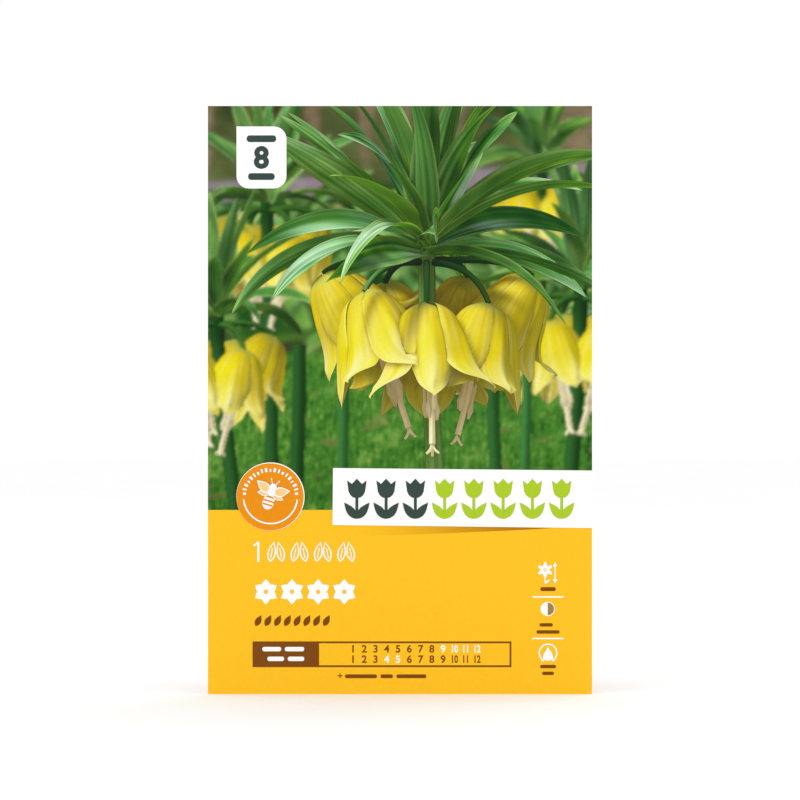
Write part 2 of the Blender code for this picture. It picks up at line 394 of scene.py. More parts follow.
def make_roots(material):
    """Short dry roots round the plate under the bulb, lying outwards and a little bent."""
    draw = np.random.default_rng(7)
    t = np.linspace(0, 1, 12)
    parts = []
    for i in range(ROOT_COUNT):
        angle = math.tau * (i + 0.3 * math.sin(1.7 * i)) / ROOT_COUNT
        length = draw.uniform(8, 14)
        inner = draw.uniform(7, 11)
        turn = angle + draw.normal(0, 0.25) * t**2
        out = inner + length * t
        level = BULB_BASE + 2.4 + draw.uniform(-0.2, 0.5) + (0.4 + draw.uniform(0, 1.2)) * t**2
        path = np.stack([out * np.cos(turn), out * np.sin(turn) + NET_CENTRE_MM, level], -1)
        radii = draw.uniform(0.55, 0.95) * (1 - 0.65 * t) * (1 + 0.12 * np.sin(17 * t + i))
        parts.append(tube(path * MM, radii * MM, 7))
    return make_object("bulb_roots", *join_parts(parts), material)


# The net bag, in millimetres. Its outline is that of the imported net, with finer meshes.

# Places from the lower weld to the upper one, with half widths, half depths and levels
NET_PROFILE = [
    (0.00, 15.0, 2.4, 0.65), (0.05, 22.0, 14.0, 0.65), (0.10, 30.5, 26.5, 3.0), (0.16, 38.0, 37.0, 10.5),
    (0.22, 40.9, 40.7, 20.0), (0.27, 41.4, 41.4, 29.5), (0.33, 40.7, 40.3, 41.0), (0.39, 37.8, 36.4, 52.0),
    (0.44, 34.2, 30.0, 61.0), (0.49, 31.4, 19.6, 68.0), (0.54, 29.4, 10.6, 75.5), (0.60, 27.4, 4.8, 86.0),
    (0.66, 26.0, 2.5, 98.0), (0.74, 24.6, 1.6, 116.0), (0.82, 24.0, 1.6, 136.0), (1.00, 24.0, 1.6, 181.0),
]
FLAT_DEPTH = 9.0
BAND_ROUNDING = 6
LEAN_FROM = 30.0
LEAN_TO = 70.0
AGAINST_CARD = CARD_BACK / MM + 0.9
NET_STRANDS = 26
NET_ROWS = 43
STEPS_A_ROW = 4
STRAND_RADIUS = 0.42
# Half width, half depth and half height of each weld, its middle, and the strands that show in it
NET_HEAD = ("net_weld_head", (25.5, 2.2, 2.25), (0, AGAINST_CARD + 1.6, 181.0), 52)
NET_FOOT = ("net_weld_foot", (17.0, 3.5, 0.65), (0, NET_CENTRE_MM, 0.65), 26)


def net_surface(angle, place):
    """Points of the net's surface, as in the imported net."""
    half_width, half_depth, level = (curve_through(NET_PROFILE, place, column) for column in (1, 2, 3))
    level = np.maximum(level, NET_PROFILE[0][3])
    angle = (angle + math.pi) % math.tau - math.pi
    across_band = 1 - 2 * np.abs(angle) / math.pi
    out_of_band = np.sign(angle) * (1 - across_band**BAND_ROUNDING) ** (1 / BAND_ROUNDING)
    flat = 1 - smooth(half_depth / FLAT_DEPTH)
    side = blend(np.cos(angle), across_band, flat)
    front = blend(np.sin(angle), out_of_band, flat)
    lean = smooth((level - LEAN_FROM) / (LEAN_TO - LEAN_FROM))
    centre = blend(NET_CENTRE_MM, AGAINST_CARD + half_depth, lean)
    return np.stack([half_width * side, centre + half_depth * front, level], -1)


def make_net(material):
    """Two families of strands that wind up round the net in opposite ways, welded where they meet."""
    draw = np.random.default_rng(21)
    rows = np.arange(NET_ROWS * STEPS_A_ROW + 1) / STEPS_A_ROW
    to_weld = np.abs(rows - np.round(rows))
    swell = 1 + 0.45 * np.exp(-((to_weld / 0.16) ** 2))
    wander = np.interp(rows, np.arange(NET_ROWS + 1), draw.normal(0, 0.05, NET_ROWS + 1))
    parts = []
    for way in (-1, 1):
        for strand in range(NET_STRANDS):
            angle = math.tau * (strand + way * rows / 2 + wander) / NET_STRANDS
            path = net_surface(angle, rows / NET_ROWS)
            parts.append(tube(path * MM, STRAND_RADIUS * MM * swell, 6))
    return make_object("net_strands", *join_parts(parts), material)


def rounded_wave(values, power=0.4):
    """Sines or cosines pushed outwards, which makes a circle nearly square."""
    return np.sign(values) * np.abs(values) ** power


def make_weld(weld, material):
    """A bar of melted strands: rounded, with the strands still showing as ridges."""
    name, (half_width, half_depth, half_height), centre, strands = weld
    around, along = 28, 150
    turn = np.arange(around) * math.tau / around
    place = np.linspace(-1, 1, along)[:, None]
    cap = np.maximum(np.sqrt(1 - np.abs(place) ** 14), 0.25)
    ridge = 1 + 0.09 * np.cos(math.pi * strands * place) + 0.03 * np.sin(37 * place)
    depth = rounded_wave(np.cos(turn)) * half_depth * cap * ridge / 1.12
    height = rounded_wave(np.sin(turn)) * half_height * cap
    width = np.broadcast_to(place * half_width, depth.shape)
    points = np.stack([width, depth, height], -1).reshape(-1, 3)
    return make_object(name, (points + centre) * MM, tube_faces(around, along), material)


# The glued strip, in millimetres

STRIP_HALF = 43.0
STRIP_LOW = 150.0
STRIP_HEIGHT = 22.0
STRIP_THICKNESS = 0.5
STRIP_RISE = 4.7
NECK_HALF_WIDTH = 27.0
STRIP_STEP = 8.0
GLUE_FROM = 35.5


def make_strip(material):
    """A paper strip that is glued down at both ends and bows over the net, with softly uneven edges."""
    across, up = 150, 14
    x, t = np.meshgrid(np.linspace(-STRIP_HALF, STRIP_HALF, across), np.linspace(0, 1, up))
    raised = 1 - smooth((np.abs(x) - NECK_HALF_WIDTH) / STRIP_STEP)
    ripple = 0.12 * raised * (np.sin(0.42 * x) * np.cos(2.6 * t) - 1)
    edge = 0.1 * np.cos(math.pi * x / STRIP_HALF)
    z = STRIP_LOW + 0.2 + (STRIP_HEIGHT - 0.4) * t + edge * (2 * t - 1)
    foot = CARD_BACK / MM + 0.3 + STRIP_THICKNESS / 2
    sheet = foot + STRIP_RISE * raised + ripple
    half = STRIP_THICKNESS / 2
    points = np.concatenate([np.stack([x, y, z], -1).reshape(-1, 3) for y in (sheet + half, sheet - half)])
    count = across * up
    quads = grid_faces(across, up)
    faces = [face[::-1] for face in quads] + [tuple(count + i for i in face) for face in quads]
    index = np.arange(count).reshape(up, across)
    rim = np.concatenate([index[0], index[1:, -1], index[-1, -2::-1], index[-2:0:-1, 0]]).tolist()
    faces += [(a, b, count + b, count + a) for a, b in zip(rim, rim[1:] + rim[:1])]
    strip = make_object("strip_paper", points * MM, faces, material)
    glue = 0.5 * smooth((np.abs(x).ravel() - GLUE_FROM) / 1.5)
    set_values(strip, "glue", np.concatenate([glue, glue]))
    strip.data.set_sharp_from_angle(angle=math.radians(50))
    return strip


# The picture on the card. It is worked out as a garden of real depth, in millimetres: x to the
# right and z up as on the card, y away from the viewer. Its light and shade are worked out there,
# and then it is pressed flat on the card.

PICTURE_LOW = 62.3
PICTURE_HEIGHT = CARD_HEIGHT - PICTURE_LOW
RELIEF = 0.3
PRINT_LEVEL = 0.04
SUN = np.array((-0.50, -0.55, 0.67)) / np.linalg.norm((-0.50, -0.55, 0.67))
SUN_COLOUR = np.array((1.0, 0.97, 0.88)) * 0.98
SKY_COLOUR = np.array((0.88, 0.94, 1.0)) * 0.60
GROUND_COLOUR = np.array((0.55, 0.62, 0.35)) * 0.35
SHEEN_COLOUR = np.array((0.66, 0.80, 0.74))

LEAF_DEEP = linear(54, 112, 48)
LEAF_MID = linear(106, 164, 74)
LEAF_PALE = linear(194, 214, 146)
LEAF_UNDER = linear(138, 178, 116)
LEAF_THROUGH = np.array((1.3, 1.25, 0.5))
PETAL_DEEP = linear(184, 156, 14)
PETAL_MID = linear(226, 207, 32)
PETAL_PALE = linear(244, 234, 160)
PETAL_BASE = linear(168, 178, 82)
PETAL_THROUGH = np.array((1.0, 0.86, 0.45))
CREAM = linear(246, 232, 188)
STEM_GREEN = linear(78, 132, 56)
STEM_PALE = linear(176, 204, 120)
STEM_FAR = linear(50, 98, 48)


def surface_normals(points):
    """Unit normals of a grid of points."""
    normal = np.cross(np.gradient(points, axis=0), np.gradient(points, axis=1))
    return normal / np.maximum(np.linalg.norm(normal, axis=-1, keepdims=True), 1e-9)


def wave_noise(draw, x, waves, longest, shortest):
    """A smooth random line through 0: a sum of sine waves, about 1 high."""
    total = np.zeros_like(x, float)
    for _ in range(waves):
        size = draw.uniform(shortest, longest)
        total += np.sin(math.tau * x / size + draw.uniform(0, math.tau))
    return total / math.sqrt(waves)


class Patch:
    """A sheet in the garden: a grid of points, its colours, what light it lets through, its sheen."""

    def __init__(self, points, colours, glow, sheen):
        self.points = points
        self.colours = colours
        self.glow = np.broadcast_to(glow, points.shape)
        self.sheen = np.broadcast_to(sheen, points.shape[:2])


def leaf_patch(draw, base, heading, rise, length, width, bend, curl, roll, twist):
    """A strap leaf: a line that bends under its weight, with a channelled, twisting blade on it."""
    along, across = 56, 17
    t = np.linspace(0, 1, along)
    way_up = np.radians(rise - bend * t**1.25)
    way_round = np.radians(heading + curl * t)
    way = np.stack([
        np.cos(way_up) * np.cos(way_round), np.cos(way_up) * np.sin(way_round), np.sin(way_up),
    ], -1)
    steps = np.concatenate([[(0, 0, 0)], np.cumsum(way[:-1], 0)])
    middle = np.asarray(base, float) + steps * length / along
    side = np.stack([-np.sin(way_round), np.cos(way_round), np.zeros(along)], -1)
    up = np.cross(way, side)
    turned = np.radians(roll + twist * t)[:, None]
    side, up = side * np.cos(turned) + up * np.sin(turned), up * np.cos(turned) - side * np.sin(turned)
    half = width / 2 * blend(0.62, 1.0, smooth(t / 0.3)) * (1 - t**2.6) ** 0.85
    v = np.linspace(-1, 1, across)
    fold = math.radians(27) * (1 - 0.6 * t)[:, None]
    ripple = 0.09 * np.sin(9 * t + draw.uniform(0, 6))[:, None] * v**2
    out = half[:, None] * v * np.cos(fold)
    lift = half[:, None] * (np.abs(v) * np.sin(fold) + ripple)
    points = middle[:, None] + side[:, None] * out[..., None] + up[:, None] * lift[..., None]
    pale = 0.22 + 0.2 * smooth((0.25 - t) / 0.25) + 0.3 * smooth((t - 0.85) / 0.15)
    pale = pale[:, None] + 0.16 * np.exp(-((v / 0.08) ** 2)) * (1 - t)[:, None]
    veins = wave_noise(draw, v + 0.1 * t[:, None], 7, 0.7, 0.22)
    pale = pale + 0.24 * veins
    pale = pale + 0.12 * wave_noise(draw, t[:, None] + 0.1 * v, 4, 0.8, 0.15) + draw.uniform(-0.12, 0.15)
    pale = np.clip(pale, 0, 1)[..., None]
    colours = np.where(pale < 0.5, blend(LEAF_DEEP, LEAF_MID, pale * 2),
                       blend(LEAF_MID, LEAF_PALE, pale * 2 - 1))
    edge = (np.abs(v) ** 10)[None, :, None]
    colours = blend(colours, LEAF_PALE, 0.4 * edge)
    colours = colours * (1 + draw.uniform(-1, 1) * np.array((0.28, 0.12, -0.1)))
    under = smooth((up[:, 1] + 0.15) / 0.5)[:, None, None]
    colours = blend(colours, LEAF_UNDER, 0.18 * under)
    bloom = wave_noise(draw, t[:, None] + 0.25 * v, 3, 1.2, 0.5)
    sheen = draw.uniform(0.3, 1.3) * np.clip(0.7 + 0.6 * bloom + 0.22 * veins, 0, 2)
    return Patch(points, colours, 0.62 * LEAF_THROUGH, sheen)


# Places from a petal's foot to its tip, with how far out and how far down it is
PETAL_PROFILE = [
    (0.0, 0.04, 0.0), (0.04, 0.12, 0.02), (0.10, 0.205, 0.07), (0.2, 0.27, 0.17), (0.4, 0.345, 0.38),
    (0.6, 0.40, 0.60), (0.8, 0.455, 0.82), (1.0, 0.51, 1.06),
]
# The same places' share of a petal's full width
PETAL_SPREAD = [
    (0.0, 0.85), (0.15, 0.95), (0.4, 1.0), (0.55, 1.02), (0.68, 0.94), (0.80, 0.72), (0.90, 0.42),
    (0.97, 0.15), (1.0, 0.01),
]


def turn_matrix(lean_right, lean_back):
    """Turns a hanging flower: first towards the viewer or away, then to the right or left."""
    a, b = math.radians(lean_back), math.radians(lean_right)
    back = np.array(((1, 0, 0), (0, math.cos(a), -math.sin(a)), (0, math.sin(a), math.cos(a))))
    right = np.array(((math.cos(b), 0, math.sin(b)), (0, 1, 0), (-math.sin(b), 0, math.cos(b))))
    return (right @ back).T


def petal_patch(draw, size, turn, inner, flare):
    """One petal of a bell that hangs from 0: rounded shoulder, keeled side, pointed and flared tip."""
    along, across = 40, 21
    v, u = np.meshgrid(np.linspace(0, 1, along), np.linspace(-1, 1, across), indexing="ij")
    out = curve_through(PETAL_PROFILE, v) * (0.93 if inner else 1.0)
    keel = 0.07 * np.exp(-((u / 0.2) ** 2)) * smooth((v - 0.12) / 0.4) * (1 - smooth((v - 0.85) / 0.15))
    fade = 1 - smooth((v - 0.78) / 0.22)
    out = out * (1 + 0.12 * (1 - u**2 * fade) * smooth(v / 0.2) + keel)
    tip = smooth((v - 0.5) / 0.5)
    out = out + flare * tip**1.7
    down = curve_through(PETAL_PROFILE, v, 2) - 0.9 * max(flare, 0) * smooth((v - 0.65) / 0.35) ** 2
    down = down + 0.015 * np.sin(7 * v + draw.uniform(0, 6)) * u
    half = math.radians(34) * curve_through(PETAL_SPREAD, v) * (1.0 if inner else 1.12)
    frill = 0.016 * smooth((v - 0.45) / 0.35) * np.sin(17 * v + draw.uniform(0, 6)) * np.abs(u) ** 3
    swing = draw.uniform(-0.10, 0.10) * tip**2
    cup = draw.uniform(-0.05, 0.03) * tip * u**2
    angle = turn + half * u + 0.05 * math.sin(turn * 3) * v + swing
    out = out + (frill + cup) * fade
    points = size * np.stack([out * np.cos(angle), out * np.sin(angle), -down], -1)
    ribs = wave_noise(draw, u * (1 - 0.25 * v) + 0.05 * np.sin(4 * v), 8, 0.45, 0.13)
    patches = wave_noise(draw, v + 0.5 * u, 3, 1.3, 0.5)
    pale = 0.40 * smooth((v - 0.5) / 0.5) + 0.30 * np.abs(u) ** 4 + 0.08 * ribs * smooth(v / 0.15)
    pale = pale + 0.40 * np.exp(-((u / 0.2) ** 2)) * smooth((v - 0.3) / 0.5) + 0.16 * patches
    deep = 0.28 - 0.5 * pale - 0.08 * ribs + 0.16 * patches + 0.25 * smooth((0.45 - v) / 0.4)
    pale = np.clip(pale, 0, 1)[..., None]
    colours = blend(PETAL_MID, PETAL_PALE, pale)
    colours = blend(colours, PETAL_DEEP, np.clip(deep, 0, 1)[..., None])
    green = (1 - smooth((v - 0.02) / 0.16))[..., None]
    colours = blend(colours, PETAL_BASE, 0.8 * green)
    return Patch(points, colours, 0.62 * PETAL_THROUGH, 0.10)


THREAD_GLOW = np.array((1.5, 1.25, 0.9))
STEM_SIDES = 16


def rod_patch(path, radii, colour, sheen=0.15, sides=7, glow=0.1):
    """A round stem or thread as a patch that closes on itself."""
    path = np.asarray(path, float)
    points, _ = tube(path, radii, sides)
    grid = points.reshape(len(path), sides, 3)
    grid = np.concatenate([grid, grid[:, :1]], 1)
    return Patch(grid, np.broadcast_to(colour, grid.shape).copy(), glow, sheen)


def bend_line(start, middle, end, steps):
    """A smooth bend from start to end that heads for middle."""
    t = np.linspace(0, 1, steps)[:, None]
    start, middle, end = (np.asarray(p, float) for p in (start, middle, end))
    return (1 - t) ** 2 * start + 2 * t * (1 - t) * middle + t**2 * end


def bell_patches(draw, top, lean_right, lean_back, size, turn):
    """A hanging bell: six petals in two rings, six stamens and a longer style."""
    turned = turn_matrix(lean_right, lean_back)
    patches = []
    curled = draw.integers(0, 6)
    for k in range(6):
        flare = draw.uniform(-0.03, 0.14) + (0.03 if k % 2 else 0.0) + (0.16 if k == curled else 0.0)
        patches.append(petal_patch(draw, size, turn + k * math.pi / 3, k % 2 == 1, flare))
    for k in range(6):
        angle = turn + 0.4 + k * math.pi / 3
        reach = size * draw.uniform(1.06, 1.22)
        spread = size * draw.uniform(0.035, 0.07)
        end = (spread * math.cos(angle), spread * math.sin(angle), -reach)
        path = bend_line((0, 0, -1.5), (1.3 * end[0], 1.3 * end[1], -0.5 * reach), end, 14)
        t = np.linspace(0, 1, 14)
        radii = size * (0.013 + 0.021 * smooth((t - 0.84) / 0.04) * (1 - smooth((t - 0.95) / 0.05)))
        patches.append(rod_patch(path, radii, CREAM * draw.uniform(0.8, 1.0), 0.1, 6, THREAD_GLOW))
    reach = size * draw.uniform(1.34, 1.5)
    path = bend_line((0, 0, -1.5), (0.4, -0.3, -0.6 * reach), (draw.uniform(-1, 1), -0.6, -reach), 16)
    patches.append(rod_patch(path, size * np.linspace(0.024, 0.032, 16), CREAM, 0.15, 8, THREAD_GLOW))
    for k in range(3):
        angle = 2.1 * k + turn
        tip = path[-1] + (0.07 * size * math.cos(angle), 0.07 * size * math.sin(angle), -0.10 * size)
        fork = bend_line(path[-1], path[-1] + (0, 0, -0.05 * size), tip, 6)
        patches.append(rod_patch(fork, 0.021 * size * np.linspace(1, 0.6, 6), CREAM, 0.15, 6, THREAD_GLOW))
    for patch in patches:
        patch.points = patch.points @ turned + np.asarray(top, float)
    return patches


def crown_patches(draw, hub, scale, bells, leaves, stem_end, stem_colour):
    """A whole flower head: stem, a tuft of leaves over a ring of bells on bent stalks."""
    hub = np.asarray(hub, float)
    patches = []
    stem = bend_line(hub + (0, 0, 5 * scale), hub + (0, 1, -20 * scale), stem_end, 24)
    patches.append(rod_patch(stem, np.full(24, 2.9 * scale), stem_colour, 0.35, STEM_SIDES, 0.35))
    for right, near, drop, lean_right, lean_back, size, turn in bells:
        top = hub + np.array((right, near, drop)) * scale
        bow = hub + np.array((0.75 * right, 0.75 * near, 5.5 + 0.3 * drop)) * scale
        path = bend_line(hub + (0, 0, scale), bow, top + (0, 0, 0.3), 14)
        patches.append(rod_patch(path, np.linspace(1.25, 0.95, 14) * scale, STEM_GREEN, 0.3, 8))
        patches += bell_patches(draw, top, lean_right, lean_back, size * scale, turn)
    for heading, rise, length, width, bend, curl, roll, twist in leaves:
        lift = 3.0 + 7.0 * max(math.sin(math.radians(rise)), 0)
        out = np.array((math.cos(math.radians(heading)), math.sin(math.radians(heading)), 0)) * 2.0
        base = hub + (out + (0, 0, lift)) * scale
        patches.append(leaf_patch(draw, base, heading, rise, length * scale, width * scale,
                                  bend, curl, roll, twist))
    return patches


def streaked_stem():
    """Pale and green streaks, one colour for each line of points along the main stem."""
    streak = (0.5 + 0.25 * np.sin(2.3 * np.arange(STEM_SIDES + 1) + 0.6))[:, None]
    return blend(STEM_GREEN * 1.3, STEM_PALE, streak)


MAIN_HUB = (9.0, 0.0, 145.0)
MAIN_STEM_END = (13.0, 2.0, 50.0)

# Each bell of the main plant: its top's place to the right of the hub, away from the viewer and
# above it; how far it leans right and back, in degrees; its size; and its turn about its own line.
MAIN_BELLS = [
    (-35.0, 7.0, -3.0, -34, 6, 31.0, 0.2),
    (-14.0, 17.0, -6.0, -14, 16, 29.0, 1.1),
    (14.0, 18.0, -4.0, 12, 15, 29.0, 0.7),
    (36.0, 4.0, -4.0, 30, 5, 32.0, 0.5),
    (-21.0, -14.0, -9.0, -17, -10, 34.0, 0.95),
    (21.0, -12.0, -13.0, 13, -7, 33.0, 0.15),
    (0.0, -20.0, -13.0, -3, -13, 35.0, 1.62),
]


def main_leaves(draw):
    """The tuft: upright leaves in the middle, then wider ones that lean out, then a drooping ring."""
    rings = (
        (12, (66, 86), (52, 68), (8.5, 12.0), (5, 40), 60, 90),
        (17, (34, 62), (62, 84), (10.0, 14.0), (10, 60), 40, 110),
        (14, (2, 28), (52, 80), (9.0, 13.0), (20, 90), 35, 110),
    )
    leaves = []
    for count, rises, lengths, widths, bends, roll, twist in rings:
        for i in range(count):
            heading = 360 * (i + draw.uniform(-0.3, 0.3)) / count
            leaves.append((heading, draw.uniform(*rises), draw.uniform(*lengths), draw.uniform(*widths),
                           draw.uniform(*bends), draw.uniform(-25, 25), draw.uniform(-roll, roll),
                           draw.uniform(-twist, twist)))
    return leaves


def collect(patches):
    """All patches as one list of points, quads, colours, normals, glow and sheen."""
    faces, start = [], 0
    for patch in patches:
        rows, columns = patch.points.shape[:2]
        faces += [tuple(start + i for i in face) for face in grid_faces(columns, rows)]
        start += rows * columns
    points, colours, normals, glow = (
        np.concatenate([part.reshape(-1, 3) for part in parts]) for parts in (
            [patch.points for patch in patches], [patch.colours for patch in patches],
            [surface_normals(patch.points) for patch in patches], [patch.glow for patch in patches],
        )
    )
    return points, faces, colours, normals, glow, np.concatenate([p.sheen.reshape(-1) for p in patches])


VIEW = Vector((0, -1, 0))
CLEAR = 0.15
SHADE_RAYS = 14
SHADE_REACH = 45.0
SUN_RAYS = 7
SUN_SPREAD = 0.075
GROUND_BELOW = -0.15
SHOULDER = 0.62
PLANT_NEAR = -75.0
PLANT_FAR = 60.0
EDGE_ROOM = 2.0
MAIN_SEED = 5


def seen_points(tree, points):
    """Which points the viewer sees."""
    return np.array([tree.ray_cast(Vector(p) + VIEW * CLEAR, VIEW)[0] is None for p in points])


def spiral(k):
    """Turns that never line up, which spread points evenly over a disc."""
    return k * math.pi * (3 - math.sqrt(5))


def round_directions(count):
    """Directions spread over the upper half of a ball, more of them near its pole."""
    k = np.arange(count) + 0.5
    up = np.sqrt(1 - k / count)
    out = np.sqrt(k / count)
    return np.stack([out * np.cos(spiral(k)), out * np.sin(spiral(k)), up], -1)


def sun_directions():
    """Directions to points spread over a soft, wide sun."""
    side = np.cross(SUN, (0.0, 0.0, 1.0))
    side /= np.linalg.norm(side)
    other = np.cross(SUN, side)
    ways = []
    for k in range(SUN_RAYS):
        out, turn = SUN_SPREAD * math.sqrt((k + 0.5) / SUN_RAYS), spiral(k)
        ways.append(Vector(SUN + out * (math.cos(turn) * side + math.sin(turn) * other)))
    return ways


def facing_viewer(normals):
    """The normals of the sides that the viewer sees."""
    return np.where((normals[..., 1] > 0)[..., None], -normals, normals)


def mean_around(values, weights, quads):
    """The weighted mean of the corners of each point's quads, and which points have any weight."""
    total = np.zeros_like(values)
    weight = np.zeros(len(values))
    for corner in quads.T:
        for other in quads.T:
            np.add.at(total, corner, values[other] * weights[other, None])
            np.add.at(weight, corner, weights[other])
    return total / np.maximum(weight, 1)[:, None], weight > 0


def even_out(values, quads):
    """Blends each point's values with its neighbours', twice."""
    for _ in range(2):
        values = mean_around(values, np.ones(len(values)), quads)[0]
    return values


def from_seen(colours, seen, quads):
    """Gives the points that the viewer can't see the mean colour of the seen points beside them."""
    for _ in range(2):
        mean, known = mean_around(colours, seen.astype(float), quads)
        filled = ~seen & known
        colours = np.where(filled[:, None], mean, colours)
        seen = seen | filled
    return colours


def soft_top(colours):
    """Bends the brightest values over, so that none is burnt out."""
    over = np.maximum(colours - SHOULDER, 0) / (1 - SHOULDER)
    return np.where(colours > SHOULDER, SHOULDER + (1 - SHOULDER) * (1 - np.exp(-over)), colours)


def open_shares(tree, points, toward, facing):
    """What reaches each point: its share of the sun, of the open sky and of the open ground."""
    helper = np.where((np.abs(toward[:, 2]) < 0.9)[:, None], (0.0, 0.0, 1.0), (1.0, 0.0, 0.0))
    side = np.cross(toward, helper)
    side /= np.linalg.norm(side, axis=1)[:, None]
    other = np.cross(toward, side)
    local = round_directions(SHADE_RAYS)
    sun_ways = sun_directions()
    shares = np.zeros((len(points), 3))
    for i, place in enumerate(points):
        lifted = toward[i] * CLEAR
        start = Vector(place + lifted)
        sun_start = start if facing[i] > 0 else Vector(place - lifted)
        shares[i, 0] = sum(tree.ray_cast(sun_start, way)[0] is None for way in sun_ways)
        for way in local[:, :1] * side[i] + local[:, 1:2] * other[i] + local[:, 2:] * toward[i]:
            if tree.ray_cast(start, Vector(way), SHADE_REACH)[0] is None:
                shares[i, 1 if way[2] > GROUND_BELOW else 2] += 1
    return shares / (SUN_RAYS, SHADE_RAYS, SHADE_RAYS)


def light_points(tree, points, quads, normals, colours, glow, sheen):
    """The colour of each point in sun and sky, with what stands in the light's way."""
    toward = facing_viewer(normals)
    facing = toward @ SUN
    lit, sky, warm = even_out(open_shares(tree, points, toward, facing), quads).T
    front = np.clip(facing, 0, 1) * lit
    through = np.clip(-facing, 0, 1) * lit
    light = front[:, None] * SUN_COLOUR + sky[:, None] * SKY_COLOUR + warm[:, None] * GROUND_COLOUR
    colour = colours * (light + 0.04)
    colour += colours**1.25 * glow * (through[:, None] * SUN_COLOUR + 0.2 * (1 - sky)[:, None])
    half_way = SUN + (0, -1, 0)
    half_way /= np.linalg.norm(half_way)
    shine = np.clip(toward @ half_way, 0, 1) ** 16 * lit
    haze = sheen * (0.62 * shine + 0.56 * sky * np.clip(toward[:, 2], 0, 1) ** 2)
    return soft_top(colour + haze[:, None] * SHEEN_COLOUR)


def cut_to_picture(points, faces, colours):
    """Cuts what runs past the picture's edges, with bmesh, and keeps the colours."""
    work = bmesh.new()
    layer = work.verts.layers.float_color.new("ink")
    verts = []
    for place, colour in zip(points, colours):
        vert = work.verts.new(place)
        vert[layer] = (*colour, 1.0)
        verts.append(vert)
    for face in faces:
        work.faces.new([verts[i] for i in face])
    for place, outward in (
        ((-HALF_CARD, 0, 0), (-1, 0, 0)), ((HALF_CARD, 0, 0), (1, 0, 0)),
        ((0, 0, PICTURE_LOW), (0, 0, -1)), ((0, 0, CARD_HEIGHT), (0, 0, 1)),
    ):
        everything = work.verts[:] + work.edges[:] + work.faces[:]
        bmesh.ops.bisect_plane(work, geom=everything, plane_co=place, plane_no=outward, clear_outer=True)
    loose = [v for v in work.verts if not v.link_faces]
    bmesh.ops.delete(work, geom=loose, context="VERTS")
    return work


def shown_quads(points, quads, seen):
    """The quads with a seen point, or beside one, all turned to face the viewer."""
    near_seen = seen.copy()
    near_seen[np.unique(quads[seen[quads].any(1)])] = True
    quads = quads[near_seen[quads].any(1)]
    corner = points[quads]
    first, second = corner[:, 2] - corner[:, 0], corner[:, 3] - corner[:, 1]
    turn = first[:, 0] * second[:, 2] - first[:, 2] * second[:, 0]
    quads[turn < 0] = quads[turn < 0][:, ::-1]
    return quads[np.abs(turn) > 1e-4]


def press_flat(place):
    """A point of the picture on the card, in metres: nearer things stand a little further out."""
    share = min(max((PLANT_FAR - place.y) / (PLANT_FAR - PLANT_NEAR), 0.0), 1.0)
    level = PRINT_LEVEL + RELIEF * (0.15 + 0.85 * share)
    return place.x * MM, CARD_FRONT - level * MM, place.z * MM


def make_plant(material):
    """The sharp plant of the picture: worked out in the round, lit, and pressed flat."""
    draw = np.random.default_rng(MAIN_SEED)
    leaves = main_leaves(draw)
    patches = crown_patches(draw, MAIN_HUB, 1.0, MAIN_BELLS, leaves, MAIN_STEM_END, streaked_stem())
    points, faces, colours, normals, glow, sheen = collect(patches)
    inside = (np.abs(points[:, 0]) < HALF_CARD + EDGE_ROOM) & (points[:, 2] > PICTURE_LOW - EDGE_ROOM)
    inside &= points[:, 2] < CARD_HEIGHT + EDGE_ROOM
    faces = [f for f in faces if any(inside[i] for i in f)]
    tree = BVHTree.FromPolygons([Vector(p) for p in points], faces)
    seen = seen_points(tree, points)
    quads = shown_quads(points, np.array(faces), seen)
    used, inverse = np.unique(quads, return_inverse=True)
    quads = inverse.reshape(quads.shape)
    lit = light_points(tree, points[used], quads, normals[used], colours[used], glow[used], sheen[used])
    lit = from_seen(lit, seen[used], quads)
    work = cut_to_picture(points[used], quads.tolist(), as_ink(np.clip(lit, 0, 1)))
    for vert in work.verts:
        vert.co = press_flat(vert.co)
    mesh = bpy.data.meshes.new("print_plant")
    work.to_mesh(mesh)
    work.free()
    return mesh_object("print_plant", mesh, material)


# The garden behind the plant, out of focus. It is worked out on a canvas of small squares and
# then held by the points of a fine grid.

CANVAS_PITCH = 0.34
GARDEN_PITCH = 0.5
CANVAS_WIDE = int(round(CARD_WIDTH / CANVAS_PITCH)) + 1
CANVAS_HIGH = int(round(PICTURE_HEIGHT / CANVAS_PITCH)) + 1

LAWN = linear(74, 128, 46)
LAWN_DARK = linear(40, 88, 34)
LAWN_PALE = linear(124, 162, 76)
STRAW = linear(128, 120, 74)
HEDGE = linear(98, 108, 62)
HEDGE_DARK = linear(38, 46, 28)
TRUNK = linear(142, 122, 98)
PATH = linear(146, 134, 140)
EARTH = linear(62, 52, 44)
BLOOM_ROW = linear(240, 234, 146)
SHADOW_GREEN = linear(24, 56, 28)


# Level at the card's middle and slope of what lies across the garden, in millimetres
EARTH_LINE = (119.0, 0.04)
BLOOM_LINE = (162.0, 0.06)
HEDGE_LINE = (170.0, 0.06)
PATH_LINE = (173.0, 0.05)


def picture_places(wide, high):
    """The x and z of a grid of places over the whole picture."""
    return np.meshgrid(np.linspace(-HALF_CARD, HALF_CARD, wide), np.linspace(PICTURE_LOW, CARD_HEIGHT, high))


def above(line, x, z):
    """How far places are above a sloping line."""
    level, slope = line
    return z - (level + slope * x)


def soft_noise(draw, wide, high):
    """Smooth random patches over the canvas, of about this size in millimetres, mostly from 0 to 1."""
    image = draw.normal(0, 1, (CANVAS_HIGH, CANVAS_WIDE))
    image = blur(image, (0.3 * high / CANVAS_PITCH, 0.3 * wide / CANVAS_PITCH))
    return 0.5 + 0.22 * (image - image.mean()) / image.std()


